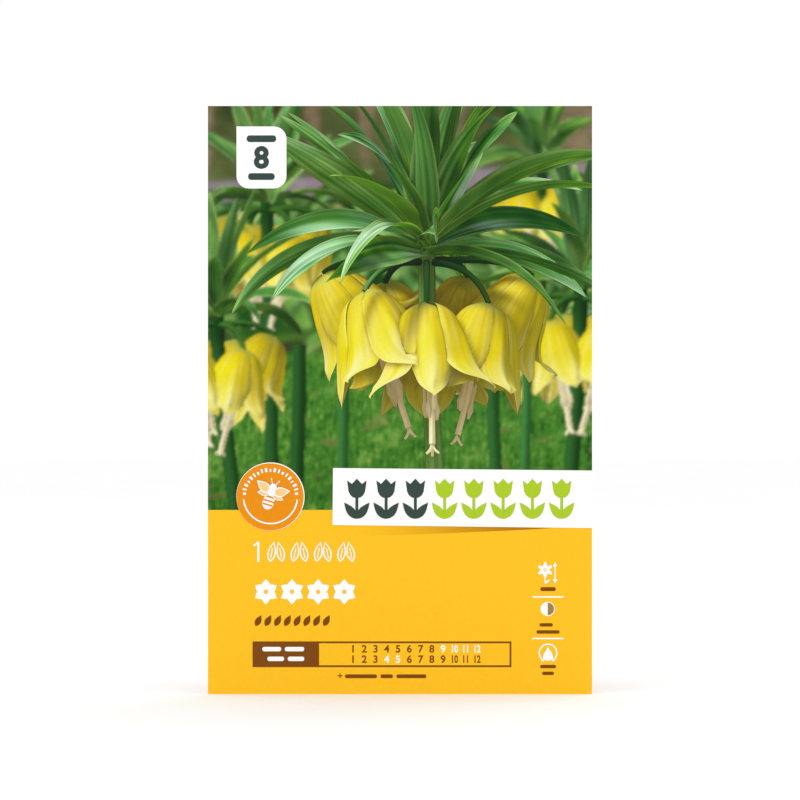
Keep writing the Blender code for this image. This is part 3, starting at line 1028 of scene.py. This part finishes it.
def blur(image, radii):
    """Softens a canvas by two radii, up and across, in canvas squares."""
    for axis, radius in enumerate(radii):
        reach = int(3 * radius) + 1
        weights = np.exp(-0.5 * (np.arange(-reach, reach + 1) / radius) ** 2)
        weights /= weights.sum()
        pad = [(0, 0)] * image.ndim
        pad[axis] = (reach, reach)
        padded = np.pad(image, pad, mode="edge")
        total = np.zeros_like(image)
        for k, weight in enumerate(weights):
            part = [slice(None)] * image.ndim
            part[axis] = slice(k, k + image.shape[axis])
            total += weight * padded[tuple(part)]
        image = total
    return image


def finer(grid, times):
    """A grid of values with more rows and columns, by straight blending."""
    for axis in (0, 1):
        count = grid.shape[axis]
        at = np.linspace(0, count - 1, (count - 1) * times[axis] + 1)
        i = np.minimum(at.astype(int), count - 2)
        share = (at - i).reshape([-1 if k == axis else 1 for k in range(3)])
        grid = blend(np.take(grid, i, axis), np.take(grid, i + 1, axis), share)
    return grid


def plain_light(normals, colours, heights, glow):
    """Light without any check of what stands in its way, for what is out of focus."""
    toward = facing_viewer(normals)
    facing = toward @ SUN
    light = np.clip(facing, 0, 1)[..., None] * SUN_COLOUR
    light = light + (0.6 + 0.3 * toward[..., 2:3]) * SKY_COLOUR
    through = np.clip(-facing, 0, 1)[..., None] * SUN_COLOUR * glow
    return soft_top((colours * light + colours**1.25 * through) * heights)


def add_far_plants(canvas, patches, hub_height, softness):
    """Lays patches on the canvas, far ones first, softened as a lens does."""
    places, colours = [], []
    for patch in patches:
        steps = [np.abs(np.diff(patch.points, axis=axis)).max() for axis in (0, 1)]
        times = [max(1, int(math.ceil(step / (0.7 * CANVAS_PITCH)))) for step in steps]
        dim = blend(0.55, 1.0, smooth(np.abs(patch.points[..., 2:3] - hub_height) / 14))
        lit = plain_light(surface_normals(patch.points), patch.colours, dim, patch.glow)
        places.append(finer(patch.points, times).reshape(-1, 3))
        colours.append(finer(lit, times).reshape(-1, 3))
    places, colours = np.concatenate(places), np.concatenate(colours)
    column = np.round((places[:, 0] + HALF_CARD) / CANVAS_PITCH).astype(int)
    row = np.round((places[:, 2] - PICTURE_LOW) / CANVAS_PITCH).astype(int)
    inside = (column >= 0) & (column < CANVAS_WIDE) & (row >= 0) & (row < CANVAS_HIGH)
    order = np.flatnonzero(inside)[np.argsort(-places[inside, 1], kind="stable")]
    layer = np.zeros((CANVAS_HIGH, CANVAS_WIDE, 4))
    layer[row[order], column[order]] = np.insert(colours[order], 3, 1, axis=1)
    layer = blur(layer, (softness, softness))
    cover = np.clip(layer[..., 3:] * 1.15, 0, 1)
    return canvas * (1 - cover) + layer[..., :3] / np.maximum(layer[..., 3:], 1e-4) * cover


def far_leaves(draw, count, x_range, z_range, rise_range):
    """Loose strap leaves of plants further off."""
    patches = []
    for _ in range(count):
        base = (draw.uniform(*x_range), draw.uniform(20, 60), draw.uniform(*z_range))
        heading = draw.choice((0, 180)) + draw.uniform(-50, 50)
        patches.append(leaf_patch(draw, base, heading, draw.uniform(*rise_range), draw.uniform(35, 60),
                                  draw.uniform(4, 8), draw.uniform(10, 90), draw.uniform(-30, 30),
                                  draw.uniform(-60, 60), draw.uniform(-60, 60)))
    return patches


FAR_BELLS = [
    (-24.0, 4.0, -3.0, -24, 6, 29.0, 0.3), (-8.0, 14.0, -6.0, -8, 10, 27.0, 1.0),
    (10.0, 13.0, -6.0, 10, 10, 27.0, 0.6), (25.0, 2.0, -4.0, 28, 4, 29.0, 0.2),
    (-13.0, -12.0, -9.0, -12, -8, 31.0, 0.9), (12.0, -13.0, -10.0, 13, -8, 31.0, 0.4),
]


def far_plant(draw, hub, scale, stem_end):
    leaves = []
    for i in range(22):
        rise = (78, 50, 20)[i % 3] + draw.uniform(-8, 8)
        leaves.append((360 * i / 22 + draw.uniform(-9, 9), rise, draw.uniform(44, 62), draw.uniform(7, 10),
                       (15, 35, 60)[i % 3] + draw.uniform(-10, 10), draw.uniform(-25, 25),
                       draw.uniform(-30, 30), draw.uniform(-60, 60)))
    return crown_patches(draw, hub, scale, FAR_BELLS, leaves, stem_end, STEM_FAR)


# What grows behind, far things first. Each has the values for its maker, the height that is
# darkest, and how soft it is, in canvas squares.
FAR_GROWTH = [
    (far_leaves, (46, (-66, 66), (112, 150), (10, 75)), 90, 2.8),
    (far_plant, ((48, 60, 176), 0.60, (47, 60, 110)), 176, 1.6),
    (far_leaves, (12, (-66, -30), (146, 164), (15, 80)), 120, 2.0),
    (far_plant, ((-45, 40, 163), 0.72, (-43, 40, 60)), 163, 1.2),
    (far_leaves, (22, (28, 66), (104, 140), (15, 80)), 90, 1.5),
    (far_plant, ((61, 30, 133), 0.80, (56, 30, 50)), 133, 1.0),
    (far_plant, ((-62, 20, 124), 0.76, (-54, 20, 50)), 124, 0.9),
]
# Bare stems of nearer plants: x at the top and at the foot, radius, and how bright they are
FAR_STEMS = ((-34, -36, 2.2, 0.9), (-19, -20, 1.7, 1.6), (31, 34, 2.0, 1.2), (43, 41, 1.5, 1.8))


def paint_garden():
    """The colours of the garden, as a canvas."""
    draw = np.random.default_rng(11)
    x, z = picture_places(CANVAS_WIDE, CANVAS_HIGH)
    blotch = np.clip(soft_noise(draw, 16, 8), 0, 1)
    fine = np.clip(soft_noise(draw, 4, 2.5), 0, 1)
    tiny = soft_noise(draw, 1.4, 1.8)
    blades = soft_noise(draw, 1.0, 5.0)
    grass = (0.30 * blotch + 0.20 * fine + 0.28 * tiny + 0.22 * blades)[..., None]
    grass = np.clip((grass - 0.5) * 1.5 + 0.46, 0, 1)
    lawn = np.where(grass < 0.5, blend(LAWN_DARK, LAWN, grass * 2), blend(LAWN, LAWN_PALE, grass * 2 - 1))
    straw = smooth((soft_noise(draw, 7, 3.5) - 0.78) / 0.2)[..., None]
    lawn = blend(lawn, STRAW, 0.4 * straw)
    canvas = lawn * blend(0.9, 1.04, smooth((z - PICTURE_LOW) / 30))[..., None]

    bushes = 0.5 * soft_noise(draw, 18, 14) + 0.3 * soft_noise(draw, 6, 5) + 0.2 * fine
    bushes = np.clip(bushes, 0, 1)[..., None]
    dark = blend(SHADOW_GREEN, LAWN_DARK * 1.15, bushes)
    far = blend(canvas, dark, smooth((z - 112 - 5 * blotch) / 12)[..., None])
    hedge = blend(HEDGE_DARK, HEDGE, bushes * 1.3)
    trunks = (smooth((soft_noise(draw, 9, 120) - 0.62) / 0.12) * smooth((z - 172) / 8))[..., None]
    hedge = blend(hedge, TRUNK * blend(0.6, 1.1, fine[..., None]), 0.8 * trunks)
    far = blend(far, hedge, smooth(above(HEDGE_LINE, x, z) / 7)[..., None])

    sides = np.clip(smooth((x - 2) / 22) + smooth((-14 - x) / 12), 0, 1)
    on_path = smooth((4.5 - np.abs(above(PATH_LINE, x, z))) / 2.0) * sides
    far = blend(far, PATH * blend(0.8, 1.1, fine[..., None]), on_path[..., None])
    on_earth = smooth((2.8 - np.abs(above(EARTH_LINE, x, z))) / 1.6) * smooth((np.abs(x - 10) - 8) / 16)
    far = blend(far, EARTH, 0.85 * on_earth[..., None])
    stripes = smooth((soft_noise(draw, 2.6, 12) - 0.40) / 0.2)
    on_row = smooth((5.5 - np.abs(above(BLOOM_LINE, x, z))) / 1.5) * stripes * sides
    far = blend(far, BLOOM_ROW * blend(0.7, 1.05, fine[..., None]), 0.9 * on_row[..., None])
    canvas = blend(canvas, blur(far, (2.2, 2.2)), smooth((z - 108) / 10)[..., None])

    for grow, values, darkest, softness in FAR_GROWTH:
        canvas = add_far_plants(canvas, grow(draw, *values), darkest, softness)
    stems = []
    for top, foot, radius, tint in FAR_STEMS:
        path = bend_line((top, 20, 118), (top, 20, 90), (foot, 20, 50), 20)
        stems.append(rod_patch(path, np.full(20, radius), STEM_FAR * tint, 0.3, 10))
    canvas = add_far_plants(canvas, stems, 130, 1.2)
    speckle = draw.normal(0, 0.018, (CANVAS_HIGH, CANVAS_WIDE, 1))
    return np.clip(canvas * (1 + speckle), 0, 1)


INK_HAZE = 0.014
INK_GAIN = 1.03


def as_ink(colours):
    """The ink that shows as this colour in the studio's light, under the varnish's own shine."""
    return np.clip((np.asarray(colours) - INK_HAZE) / INK_GAIN, 0.0, 1.0)


def set_ink(mesh, colours):
    layer = mesh.attributes.new("ink", "FLOAT_COLOR", "POINT")
    full = np.ones((len(colours), 4), np.float32)
    full[:, :3] = as_ink(colours)
    layer.data.foreach_set("color", full.ravel())


def make_garden(material):
    """The garden's colours, read from the canvas at the points of a grid."""
    canvas = paint_garden()
    wide = int(round(CARD_WIDTH / GARDEN_PITCH)) + 1
    high = int(round(PICTURE_HEIGHT / GARDEN_PITCH)) + 1
    x, z = picture_places(wide, high)
    u = (x + HALF_CARD) / CARD_WIDTH * (CANVAS_WIDE - 1)
    v = (z - PICTURE_LOW) / PICTURE_HEIGHT * (CANVAS_HIGH - 1)
    i, j = np.minimum(u.astype(int), CANVAS_WIDE - 2), np.minimum(v.astype(int), CANVAS_HIGH - 2)
    across, up = (u - i)[..., None], (v - j)[..., None]
    lower = blend(canvas[j, i], canvas[j, i + 1], across)
    upper = blend(canvas[j + 1, i], canvas[j + 1, i + 1], across)
    level = np.full(x.size, CARD_FRONT - PRINT_LEVEL * MM)
    points = np.stack([x.ravel() * MM, level, z.ravel() * MM], -1)
    garden = make_object("print_garden", points, grid_faces(wide, high), material)
    set_ink(garden.data, blend(lower, upper, up).reshape(-1, 3))
    return garden


# The label, in millimetres: x to the right of the card's middle and z above its lower edge

WHITE = linear(254, 254, 254)
PANEL_YELLOW = linear(253, 196, 44)
BADGE_ORANGE = linear(236, 146, 0)
BADGE_PALE = linear(251, 208, 140)
BROWN = linear(128, 76, 8)
TAN = linear(166, 128, 82)
WEDGE_BROWN = linear(178, 108, 20)
SLATE = linear(63, 78, 73)
LIME = linear(174, 204, 50)

# Levels of ink in front of the card. Marks that overlap lie a step apart, so that they don't flicker.
MARK = 0.03
ON_PANEL = PRINT_LEVEL + MARK
RAISED = PRINT_LEVEL + RELIEF + MARK


class Layers:
    """Flat areas of ink that become one piece, each some steps in front of the piece's base level."""

    def __init__(self, base):
        self.base = base
        self.points, self.faces, self.colours = [], [], []

    def add(self, points, faces, colour, step):
        """Points of x and z, with faces whose corners run against the clock as the viewer sees them."""
        start = len(self.points)
        y = CARD_FRONT - (self.base + step * MARK) * MM
        self.points += [(x * MM, y, z * MM) for x, z in points]
        self.colours += [colour] * len(points)
        self.faces += [tuple(start + i for i in face) for face in faces]

    def area(self, outline, colour, step=0):
        self.add(outline, [range(len(outline))], colour, step)

    def slab(self, outline, colour):
        """An area with side walls down to the card, like a label stuck on."""
        self.area(outline, colour)
        count, start = len(outline), len(self.points)
        self.add(outline, [], colour, 0)
        self.points += [(x, CARD_FRONT, z) for x, _, z in self.points[start:]]
        self.colours += [colour] * count
        for i in range(count):
            k = (i + 1) % count
            self.faces.append((start + i, start + count + i, start + count + k, start + k))

    def band(self, inner, outer, colour, step=0, closed=True):
        """The strip between two lines with the same number of points."""
        count = len(inner)
        last = count if closed else count - 1
        faces = [(i, count + i, count + (i + 1) % count, (i + 1) % count) for i in range(last)]
        self.add(list(inner) + list(outer), faces, colour, step)

    def arc_band(self, centre, radii, angles, steps, colour, step=0):
        """Part of a ring, with its inner and outer radius and its first and last angle."""
        inner, outer = (arc(centre, radius, *angles, steps) for radius in radii)
        self.band(inner, outer, colour, step, closed=False)

    def box(self, left, right, low, high, colour, step=0):
        self.area(box_outline(left, right, low, high), colour, step)

    def bar(self, left, right, middle, height, colour, step=0):
        """A plain bar with round ends, in place of a line of words."""
        half = height / 2
        outline = rounded((left, middle - half), (right, middle + half), (half * 0.9,) * 4)
        self.area(outline, colour, step)

    def number(self, text, centre, size, weight, colour, step=0, squeeze=1.0):
        points, faces = number_mesh(text, size, weight)
        self.add([(centre[0] + x * squeeze, centre[1] + z) for x, z in points], faces, colour, step)

    def piece(self, name, material):
        obj = make_object(name, self.points, self.faces, material, shade_smooth=False)
        set_ink(obj.data, np.array(self.colours))
        return obj


def box_outline(left, right, low, high):
    return [(left, low), (right, low), (right, high), (left, high)]


def arc(centre, radius, start, end, steps):
    """Points on an arc, against the clock from start to end in degrees."""
    angles = np.radians(np.linspace(start, end, steps))
    return [(centre[0] + radius * math.cos(a), centre[1] + radius * math.sin(a)) for a in angles]


def disc(centre, radius, steps=64):
    return arc(centre, radius, 0, 360 * (steps - 1) / steps, steps)


def rounded(low, high, radii):
    """A box with rounded corners: lower left, lower right, upper right and upper left radius."""
    (x0, z0), (x1, z1) = low, high
    a, b, c, d = (max(radius, 0.001) for radius in radii)
    return (
        arc((x0 + a, z0 + a), a, 180, 270, 9) + arc((x1 - b, z0 + b), b, 270, 360, 9)
        + arc((x1 - c, z1 - c), c, 0, 90, 9) + arc((x0 + d, z1 - d), d, 90, 180, 9)
    )


def mapped(outline, centre, turn=0.0, scale=1.0):
    """An outline about 0, moved to its place."""
    c, s = math.cos(math.radians(turn)) * scale, math.sin(math.radians(turn)) * scale
    return [(centre[0] + x * c - z * s, centre[1] + x * s + z * c) for x, z in outline]


def mirrored(half):
    """The right half of an outline, from foot to top, with the left half added."""
    return half + [(-x, z) for x, z in half[-2:0:-1]]


def lens(length, width, steps=12, roundness=1.0):
    """A leaf or petal from 0 along x, pointed at both ends, or rounder where roundness is less."""
    t = np.linspace(0, 1, steps)
    half = width / 2 * np.sin(math.pi * t**0.8).clip(0) ** roundness
    lower = [(length * a, -b) for a, b in zip(t, half)]
    return lower + [(x, -z) for x, z in lower[-2:0:-1]]


def number_mesh(text, size, weight):
    """Flat points and faces of a plain number, centred on x, with its foot at z 0."""
    curve = bpy.data.curves.new("number", "FONT")
    curve.body = text
    curve.size = size
    curve.offset = weight
    curve.align_x = "CENTER"
    curve.resolution_u = 5
    holder = show(bpy.data.objects.new("number", curve))
    bpy.context.view_layer.update()
    graph = bpy.context.evaluated_depsgraph_get()
    mesh = bpy.data.meshes.new_from_object(holder.evaluated_get(graph))
    points = [(v.co.x, v.co.y) for v in mesh.vertices]
    faces = []
    for face in mesh.polygons:
        corners = list(face.vertices)
        faces.append(corners if face.normal.z > 0 else corners[::-1])
    bpy.data.objects.remove(holder)
    bpy.data.curves.remove(curve)
    bpy.data.meshes.remove(mesh)
    return points, faces


def make_panel(material):
    """The yellow panel under the picture."""
    layers = Layers(PRINT_LEVEL)
    layers.box(-HALF_CARD, HALF_CARD, 0, PICTURE_LOW, PANEL_YELLOW)
    return layers.piece("print_panel", material)


def make_wedge(material):
    """The soft shadow that the banner casts on the panel: faint and wide at its left end."""
    layers = Layers(ON_PANEL)
    t = np.linspace(0, 1, 41)
    x, z = blend(-20.5, 51.2, t), blend(57.3, 56.2, t)
    drop = 4.1 * (1 - t) ** 0.85 + 0.02
    layers.band(list(zip(x, z)), list(zip(x, z - drop)), WHITE, closed=False)
    shade = 0.95 * smooth(0.95 * t) + 0.05 * t
    layers.colours = [*blend(PANEL_YELLOW, WEDGE_BROWN, shade[:, None])] * 2
    return layers.piece("print_wedge", material)


BANNER = [(-22.84, 57.2), (65.0, 56.18), (65.0, 75.64), (-22.68, 76.49)]
TULIP_CUP = mirrored([
    (0.0, -3.1), (1.2, -2.9), (2.2, -2.1), (2.8, -0.9), (3.0, 0.6), (3.3, 2.9), (1.7, 1.7), (0.0, 3.5),
])


def make_banner(material):
    """A white banner with a plain row of tulips, three in slate and the rest in lime."""
    layers = Layers(RAISED)
    layers.slab(BANNER, WHITE)
    for i in range(8):
        x = -14.6 + 9.9 * i
        colour = SLATE if i < 3 else LIME
        layers.area(mapped(TULIP_CUP, (x, 69.4)), colour, 1)
        layers.box(x - 0.5, x + 0.5, 59.6, 66.8, colour, 2)
        for turn, step in ((52, 3), (128, 4)):
            layers.area(mapped(lens(7.0, 2.8), (x, 59.3), turn), colour, step)
    return layers.piece("print_banner", material)


BADGE = (-43.83, 66.84)
BEE_TILT = -18


def on_bee(outline):
    """Moves an outline from the bee's own place, head up, to the badge."""
    return mapped(outline, (BADGE[0], BADGE[1] + 0.3), BEE_TILT)


def add_bee(layers):
    turns = np.linspace(0, math.tau, 40, endpoint=False)
    body = [(1.9 * math.cos(a) * (1 - 0.22 * math.sin(a)), 3.2 * math.sin(a) - 1.6) for a in turns]
    layers.area(on_bee(body), WHITE, 2)
    for z, half in ((-0.5, 1.85), (-1.9, 1.95), (-3.2, 1.65)):
        layers.area(on_bee(box_outline(-half, half, z - 0.3, z + 0.3)), BADGE_ORANGE, 3)
    wing = lens(6.2, 3.4, 16)
    inside = mapped(wing, (0.7, 0.0), scale=0.78)
    wings = ((-16, 0.25, 0.74), (196, -0.25, 0.74), (24, 0.25, 1.0), (156, -0.25, 1.0))
    for step, (turn, root, size) in zip((4, 6, 8, 10), wings):
        layers.area(on_bee(mapped(wing, (root, 1.0), turn, size)), WHITE, step)
        layers.area(on_bee(mapped(inside, (root, 1.0), turn, size)), BADGE_PALE, step + 1)
    for step, height, radius in ((12, 1.2, 1.35), (13, 3.1, 1.15)):
        layers.area(disc(on_bee([(0.0, height)])[0], radius, 30), WHITE, step)
    for side in (-1, 1):
        root, turn = (0.45 * side, 3.8), 90 - 30 * side
        feeler = mapped([(0, -0.15), (1.9, -0.1), (1.9, 0.1), (0, 0.15)], root, turn)
        layers.area(on_bee(feeler), WHITE, 4)
        layers.area(disc(on_bee(mapped([(1.9, 0)], root, turn))[0], 0.28, 12), WHITE, 5)


def make_badge(material):
    """A round orange badge with a bee seen from above, in a ring of ticks."""
    layers = Layers(RAISED)
    layers.slab(disc(BADGE, 11.55, 96), WHITE)
    layers.area(disc((BADGE[0] - 0.12, BADGE[1] - 0.12), 11.35, 96), BADGE_ORANGE, 1)
    layers.arc_band(BADGE, (8.9, 9.4), (186, 354), 60, WHITE, 2)
    for k in range(19):
        middle = 90 + 9.3 * (k - 9)
        half = 1.7 if k % 2 else 2.5
        reach = 9.75 if k % 3 else 9.35
        layers.arc_band(BADGE, (8.35, reach), (middle - half, middle + half), 4, WHITE, 2)
    add_bee(layers)
    return layers.piece("print_badge", material)


def make_tag(material):
    """The white tag at the upper left, with a plain number between two bars."""
    layers = Layers(RAISED)
    layers.slab(rounded((-55.33, 171.08), (-38.41, 192.06), (4.2, 4.2, 4.2, 0.0)), WHITE)
    layers.bar(-51.9, -41.9, 187.9, 2.3, SLATE, 1)
    layers.bar(-51.4, -42.4, 175.1, 2.3, SLATE, 1)
    layers.number("8", (-46.9, 178.2), 9.9, 0.42, SLATE, 1)
    return layers.piece("print_tag", material)


def leaf_ring(length, width, line):
    """The inner and outer line of an outlined leaf."""
    outer = lens(length, width, 14)
    middle = length / 2
    shorter, narrower = 1 - 2.4 * line / length, 1 - 2 * line / width
    return [(middle + (x - middle) * shorter, z * narrower) for x, z in outer], outer


def make_titles(material):
    """A plain 1 and rows of leaves and blooms in place of the words, as high and heavy as they are."""
    layers = Layers(ON_PANEL)
    foot, top = 44.7, 51.6
    layers.box(-48.3, -47.6, foot, top, WHITE)
    layers.area([(-49.7, top - 1.2), (-49.4, top - 1.7), (-48.2, top - 0.7), (-48.2, top)], WHITE, 1)
    inner, outer = leaf_ring(7.0, 2.9, 0.46)
    rib = box_outline(1.3, 4.8, -0.16, 0.16)
    for k in range(8):
        second = k % 2
        place = (-44.1 + 3.95 * k + 0.4 * second, foot), 78 + 24 * second
        layers.band(mapped(inner, *place), mapped(outer, *place), WHITE)
        layers.area(mapped(rib, *place), WHITE)
    for k in range(4):
        centre = (-45.4 + 8.85 * k, 34.6)
        for petal in range(6):
            layers.area(mapped(lens(4.3, 3.2), centre, 90 + 60 * petal), WHITE, petal % 2)
        layers.area(disc(centre, 1.15, 24), WHITE, 2)
        layers.area(disc(centre, 0.75, 24), PANEL_YELLOW, 3)
    for k in range(8):
        layers.area(mapped(lens(4.2, 2.1, 10), (-48.9 + 3.3 * k, 23.0), 62), BROWN)
    x, z = -20.3, 6.2
    for step, wide, high in ((0, 0.85, 0.17), (1, 0.17, 0.85)):
        layers.box(x - wide, x + wide, z - high, z + high, BROWN, step)
    for left, right in ((-18.6, -7.8), (-6.6, -2.4), (-1.2, 8.9)):
        layers.bar(left, right, 6.0, 1.3, BROWN)
    return layers.piece("print_titles", material)


# Left, right, lower and upper edge of the calendar's frame, the right edge of its solid part, and
# the bars on that part: left, right and middle
CALENDAR = (-49.9, 37.7, 9.1, 17.8)
CALENDAR_HEAD = -27.4
CALENDAR_LINE = 0.62
HEAD_BARS = ((-46.6, -40.2, 15.2), (-39.0, -32.4, 15.2), (-44.9, -39.2, 11.9), (-38.0, -32.4, 11.9))
MONTH_LEFT = -15.9
MONTH_STEP = 3.81
PLANTING_MONTHS = (9, 10, 11, 12)
FLOWERING_MONTHS = (4, 5)


def make_calendar(material):
    """Two rows of month numbers in a frame, with the planting and the flowering months in white."""
    layers = Layers(ON_PANEL)
    left, right, low, high = CALENDAR
    line = CALENDAR_LINE
    inner = box_outline(left + line, right - line, low + line, high - line)
    layers.band(inner, box_outline(*CALENDAR), BROWN)
    layers.box(left, CALENDAR_HEAD, low, high, BROWN, 1)
    for bar in HEAD_BARS:
        layers.bar(*bar, 1.5, WHITE, 2)
    for foot, white_months in ((14.1, PLANTING_MONTHS), (10.6, FLOWERING_MONTHS)):
        for month in range(1, 13):
            colour = WHITE if month in white_months else BROWN
            centre = (MONTH_LEFT + MONTH_STEP * (month - 1), foot)
            layers.number(str(month), centre, 3.5, 0.09, colour, squeeze=0.72 if month > 9 else 1.0)
    return layers.piece("print_calendar", material)


ICON_X = 50.1
# Bars of the signs: left and right from the column's middle, level, height and colour
SIGN_BARS = (
    (-2.6, 2.6, 35.5, 1.35, BROWN), (-5.3, 5.3, 32.85, 0.5, WHITE), (-2.9, 1.6, 23.4, 1.15, BROWN),
    (-3.9, 3.9, 21.0, 1.15, BROWN), (-5.3, 5.3, 18.8, 0.5, WHITE), (-2.7, 2.7, 9.3, 1.15, BROWN),
    (-2.0, 2.0, 7.0, 1.15, BROWN),
)


def add_height_sign(layers):
    """A flower beside an arrow that points up and down."""
    flower = (ICON_X - 1.0, 42.0)
    petal = mapped(lens(2.3, 1.3, 14, 0.65), (0.45, 0.0))
    for k in range(6):
        layers.area(mapped(petal, flower, 30 + 60 * k), WHITE, k % 2)
    layers.area(disc(flower, 0.3, 16), WHITE)
    layers.box(flower[0] - 0.2, flower[0] + 0.2, 37.5, 39.6, WHITE, 2)
    layers.area(mapped(lens(2.2, 0.8, 8), (flower[0], 37.4), 42), WHITE, 1)
    arrow = ICON_X + 2.4
    layers.box(arrow - 0.18, arrow + 0.18, 38.4, 43.6, WHITE)
    for tip, turn in ((44.6, 0), (37.4, 180)):
        layers.area(mapped([(-0.8, -1.4), (0.8, -1.4), (0.0, 0.0)], (arrow, tip), turn), WHITE, 1)


def add_size_sign(layers):
    """A bulb in a turning arrow with two heads, for its size round."""
    centre = (ICON_X, 13.9)
    first, last = -48, 228
    layers.arc_band(centre, (2.75, 3.2), (first, last), 60, WHITE)
    for turn, way in ((first, -1), (last, 1)):
        head = [(2.97 - 0.62 * way, 0.0), (2.97 + 0.62 * way, 0.0), (2.97, way)]
        layers.area(mapped(head, centre, turn), WHITE, 1)
    t = np.linspace(0, 1, 16)
    half = 1.85 * np.sin(math.pi * t**0.62) ** 0.8 * (1 - t) ** 0.25
    layers.area(mapped(mirrored(list(zip(half, 4.7 * t - 2.7))), centre), WHITE)


def make_icons(material):
    """The column of small signs: height, light and bulb, with bars for words and white rules."""
    layers = Layers(ON_PANEL)
    add_height_sign(layers)
    sun = (ICON_X - 0.1, 28.8)
    layers.area(disc(sun, 2.4, 48), WHITE)
    layers.area(arc(sun, 2.12, -90, 90, 30), TAN, 1)
    add_size_sign(layers)
    for left, right, middle, height, colour in SIGN_BARS:
        layers.bar(ICON_X + left, ICON_X + right, middle, height, colour)
    return layers.piece("print_icons", material)


# Stage

CAMERA_LENS = 200.0
CAMERA_SENSOR = 36.0
PHOTO_WIDTH_MM = 270.75
FLOOR_HALF = 6.0
AIM = Vector((0, 0, 0.1))


def make_camera():
    """Square on to the card, with the card as large in the frame as in the photo."""
    data = bpy.data.cameras.new("camera")
    data.lens = CAMERA_LENS
    data.sensor_width = CAMERA_SENSOR
    camera = show(bpy.data.objects.new("camera", data))
    distance = PHOTO_WIDTH_MM * MM * CAMERA_LENS / CAMERA_SENSOR
    camera.location = (0, CARD_FRONT - distance, CARD_HEIGHT * MM / 2)
    camera.rotation_euler = (math.radians(90), 0, 0)
    bpy.context.scene.camera = camera


def add_light(name, place, size, power):
    """A round soft light that is aimed at the pack."""
    data = bpy.data.lights.new(name, "AREA")
    data.shape = "DISK"
    data.size = size
    data.energy = power
    light = show(bpy.data.objects.new(name, data))
    light.location = place
    light.rotation_euler = (AIM - Vector(place)).to_track_quat("-Z", "Y").to_euler()


def make_stage():
    """A white room, three soft lights and a pale floor."""
    scene = bpy.context.scene
    scene.view_settings.view_transform = "Standard"
    world = bpy.data.worlds.new("studio")
    world.use_nodes = True
    backdrop = world.node_tree.nodes["Background"]
    backdrop.inputs["Color"].default_value = (1.0, 1.0, 1.0, 1.0)
    backdrop.inputs["Strength"].default_value = 1.02
    scene.world = world
    add_light("key", (-0.9, -1.3, 1.2), 1.0, 3)
    add_light("fill", (1.3, -1.0, 0.7), 1.2, 1.2)
    add_light("behind", (0.7, 1.2, 1.3), 1.0, 3)
    corners = [(x, y, 0) for x, y in box_outline(-FLOOR_HALF, FLOOR_HALF, -FLOOR_HALF, FLOOR_HALF)]
    floor = make_object("floor", corners, [(0, 1, 2, 3)], floor_material(), shade_smooth=False)


def main():
    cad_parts["card"].data.materials.clear()
    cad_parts["card"].data.materials.append(board_material())
    net_plastic = net_material()
    finish_piece(make_bulb(bulb_material()), "bulb", "bulb")
    finish_piece(make_roots(root_material()), "bulb")
    finish_piece(make_net(net_plastic), "net_bag", "net_bag")
    for weld in (NET_HEAD, NET_FOOT):
        finish_piece(make_weld(weld, net_plastic), "net_bag")
    finish_piece(make_strip(strip_material()), "glue_strip", "glue_strip")
    ink = print_material()
    for make in (make_plant, make_garden, make_panel, make_wedge, make_banner, make_badge, make_tag,
                 make_titles, make_calendar, make_icons):
        finish_piece(make(ink), "card")
    make_stage()
    make_camera()


main()
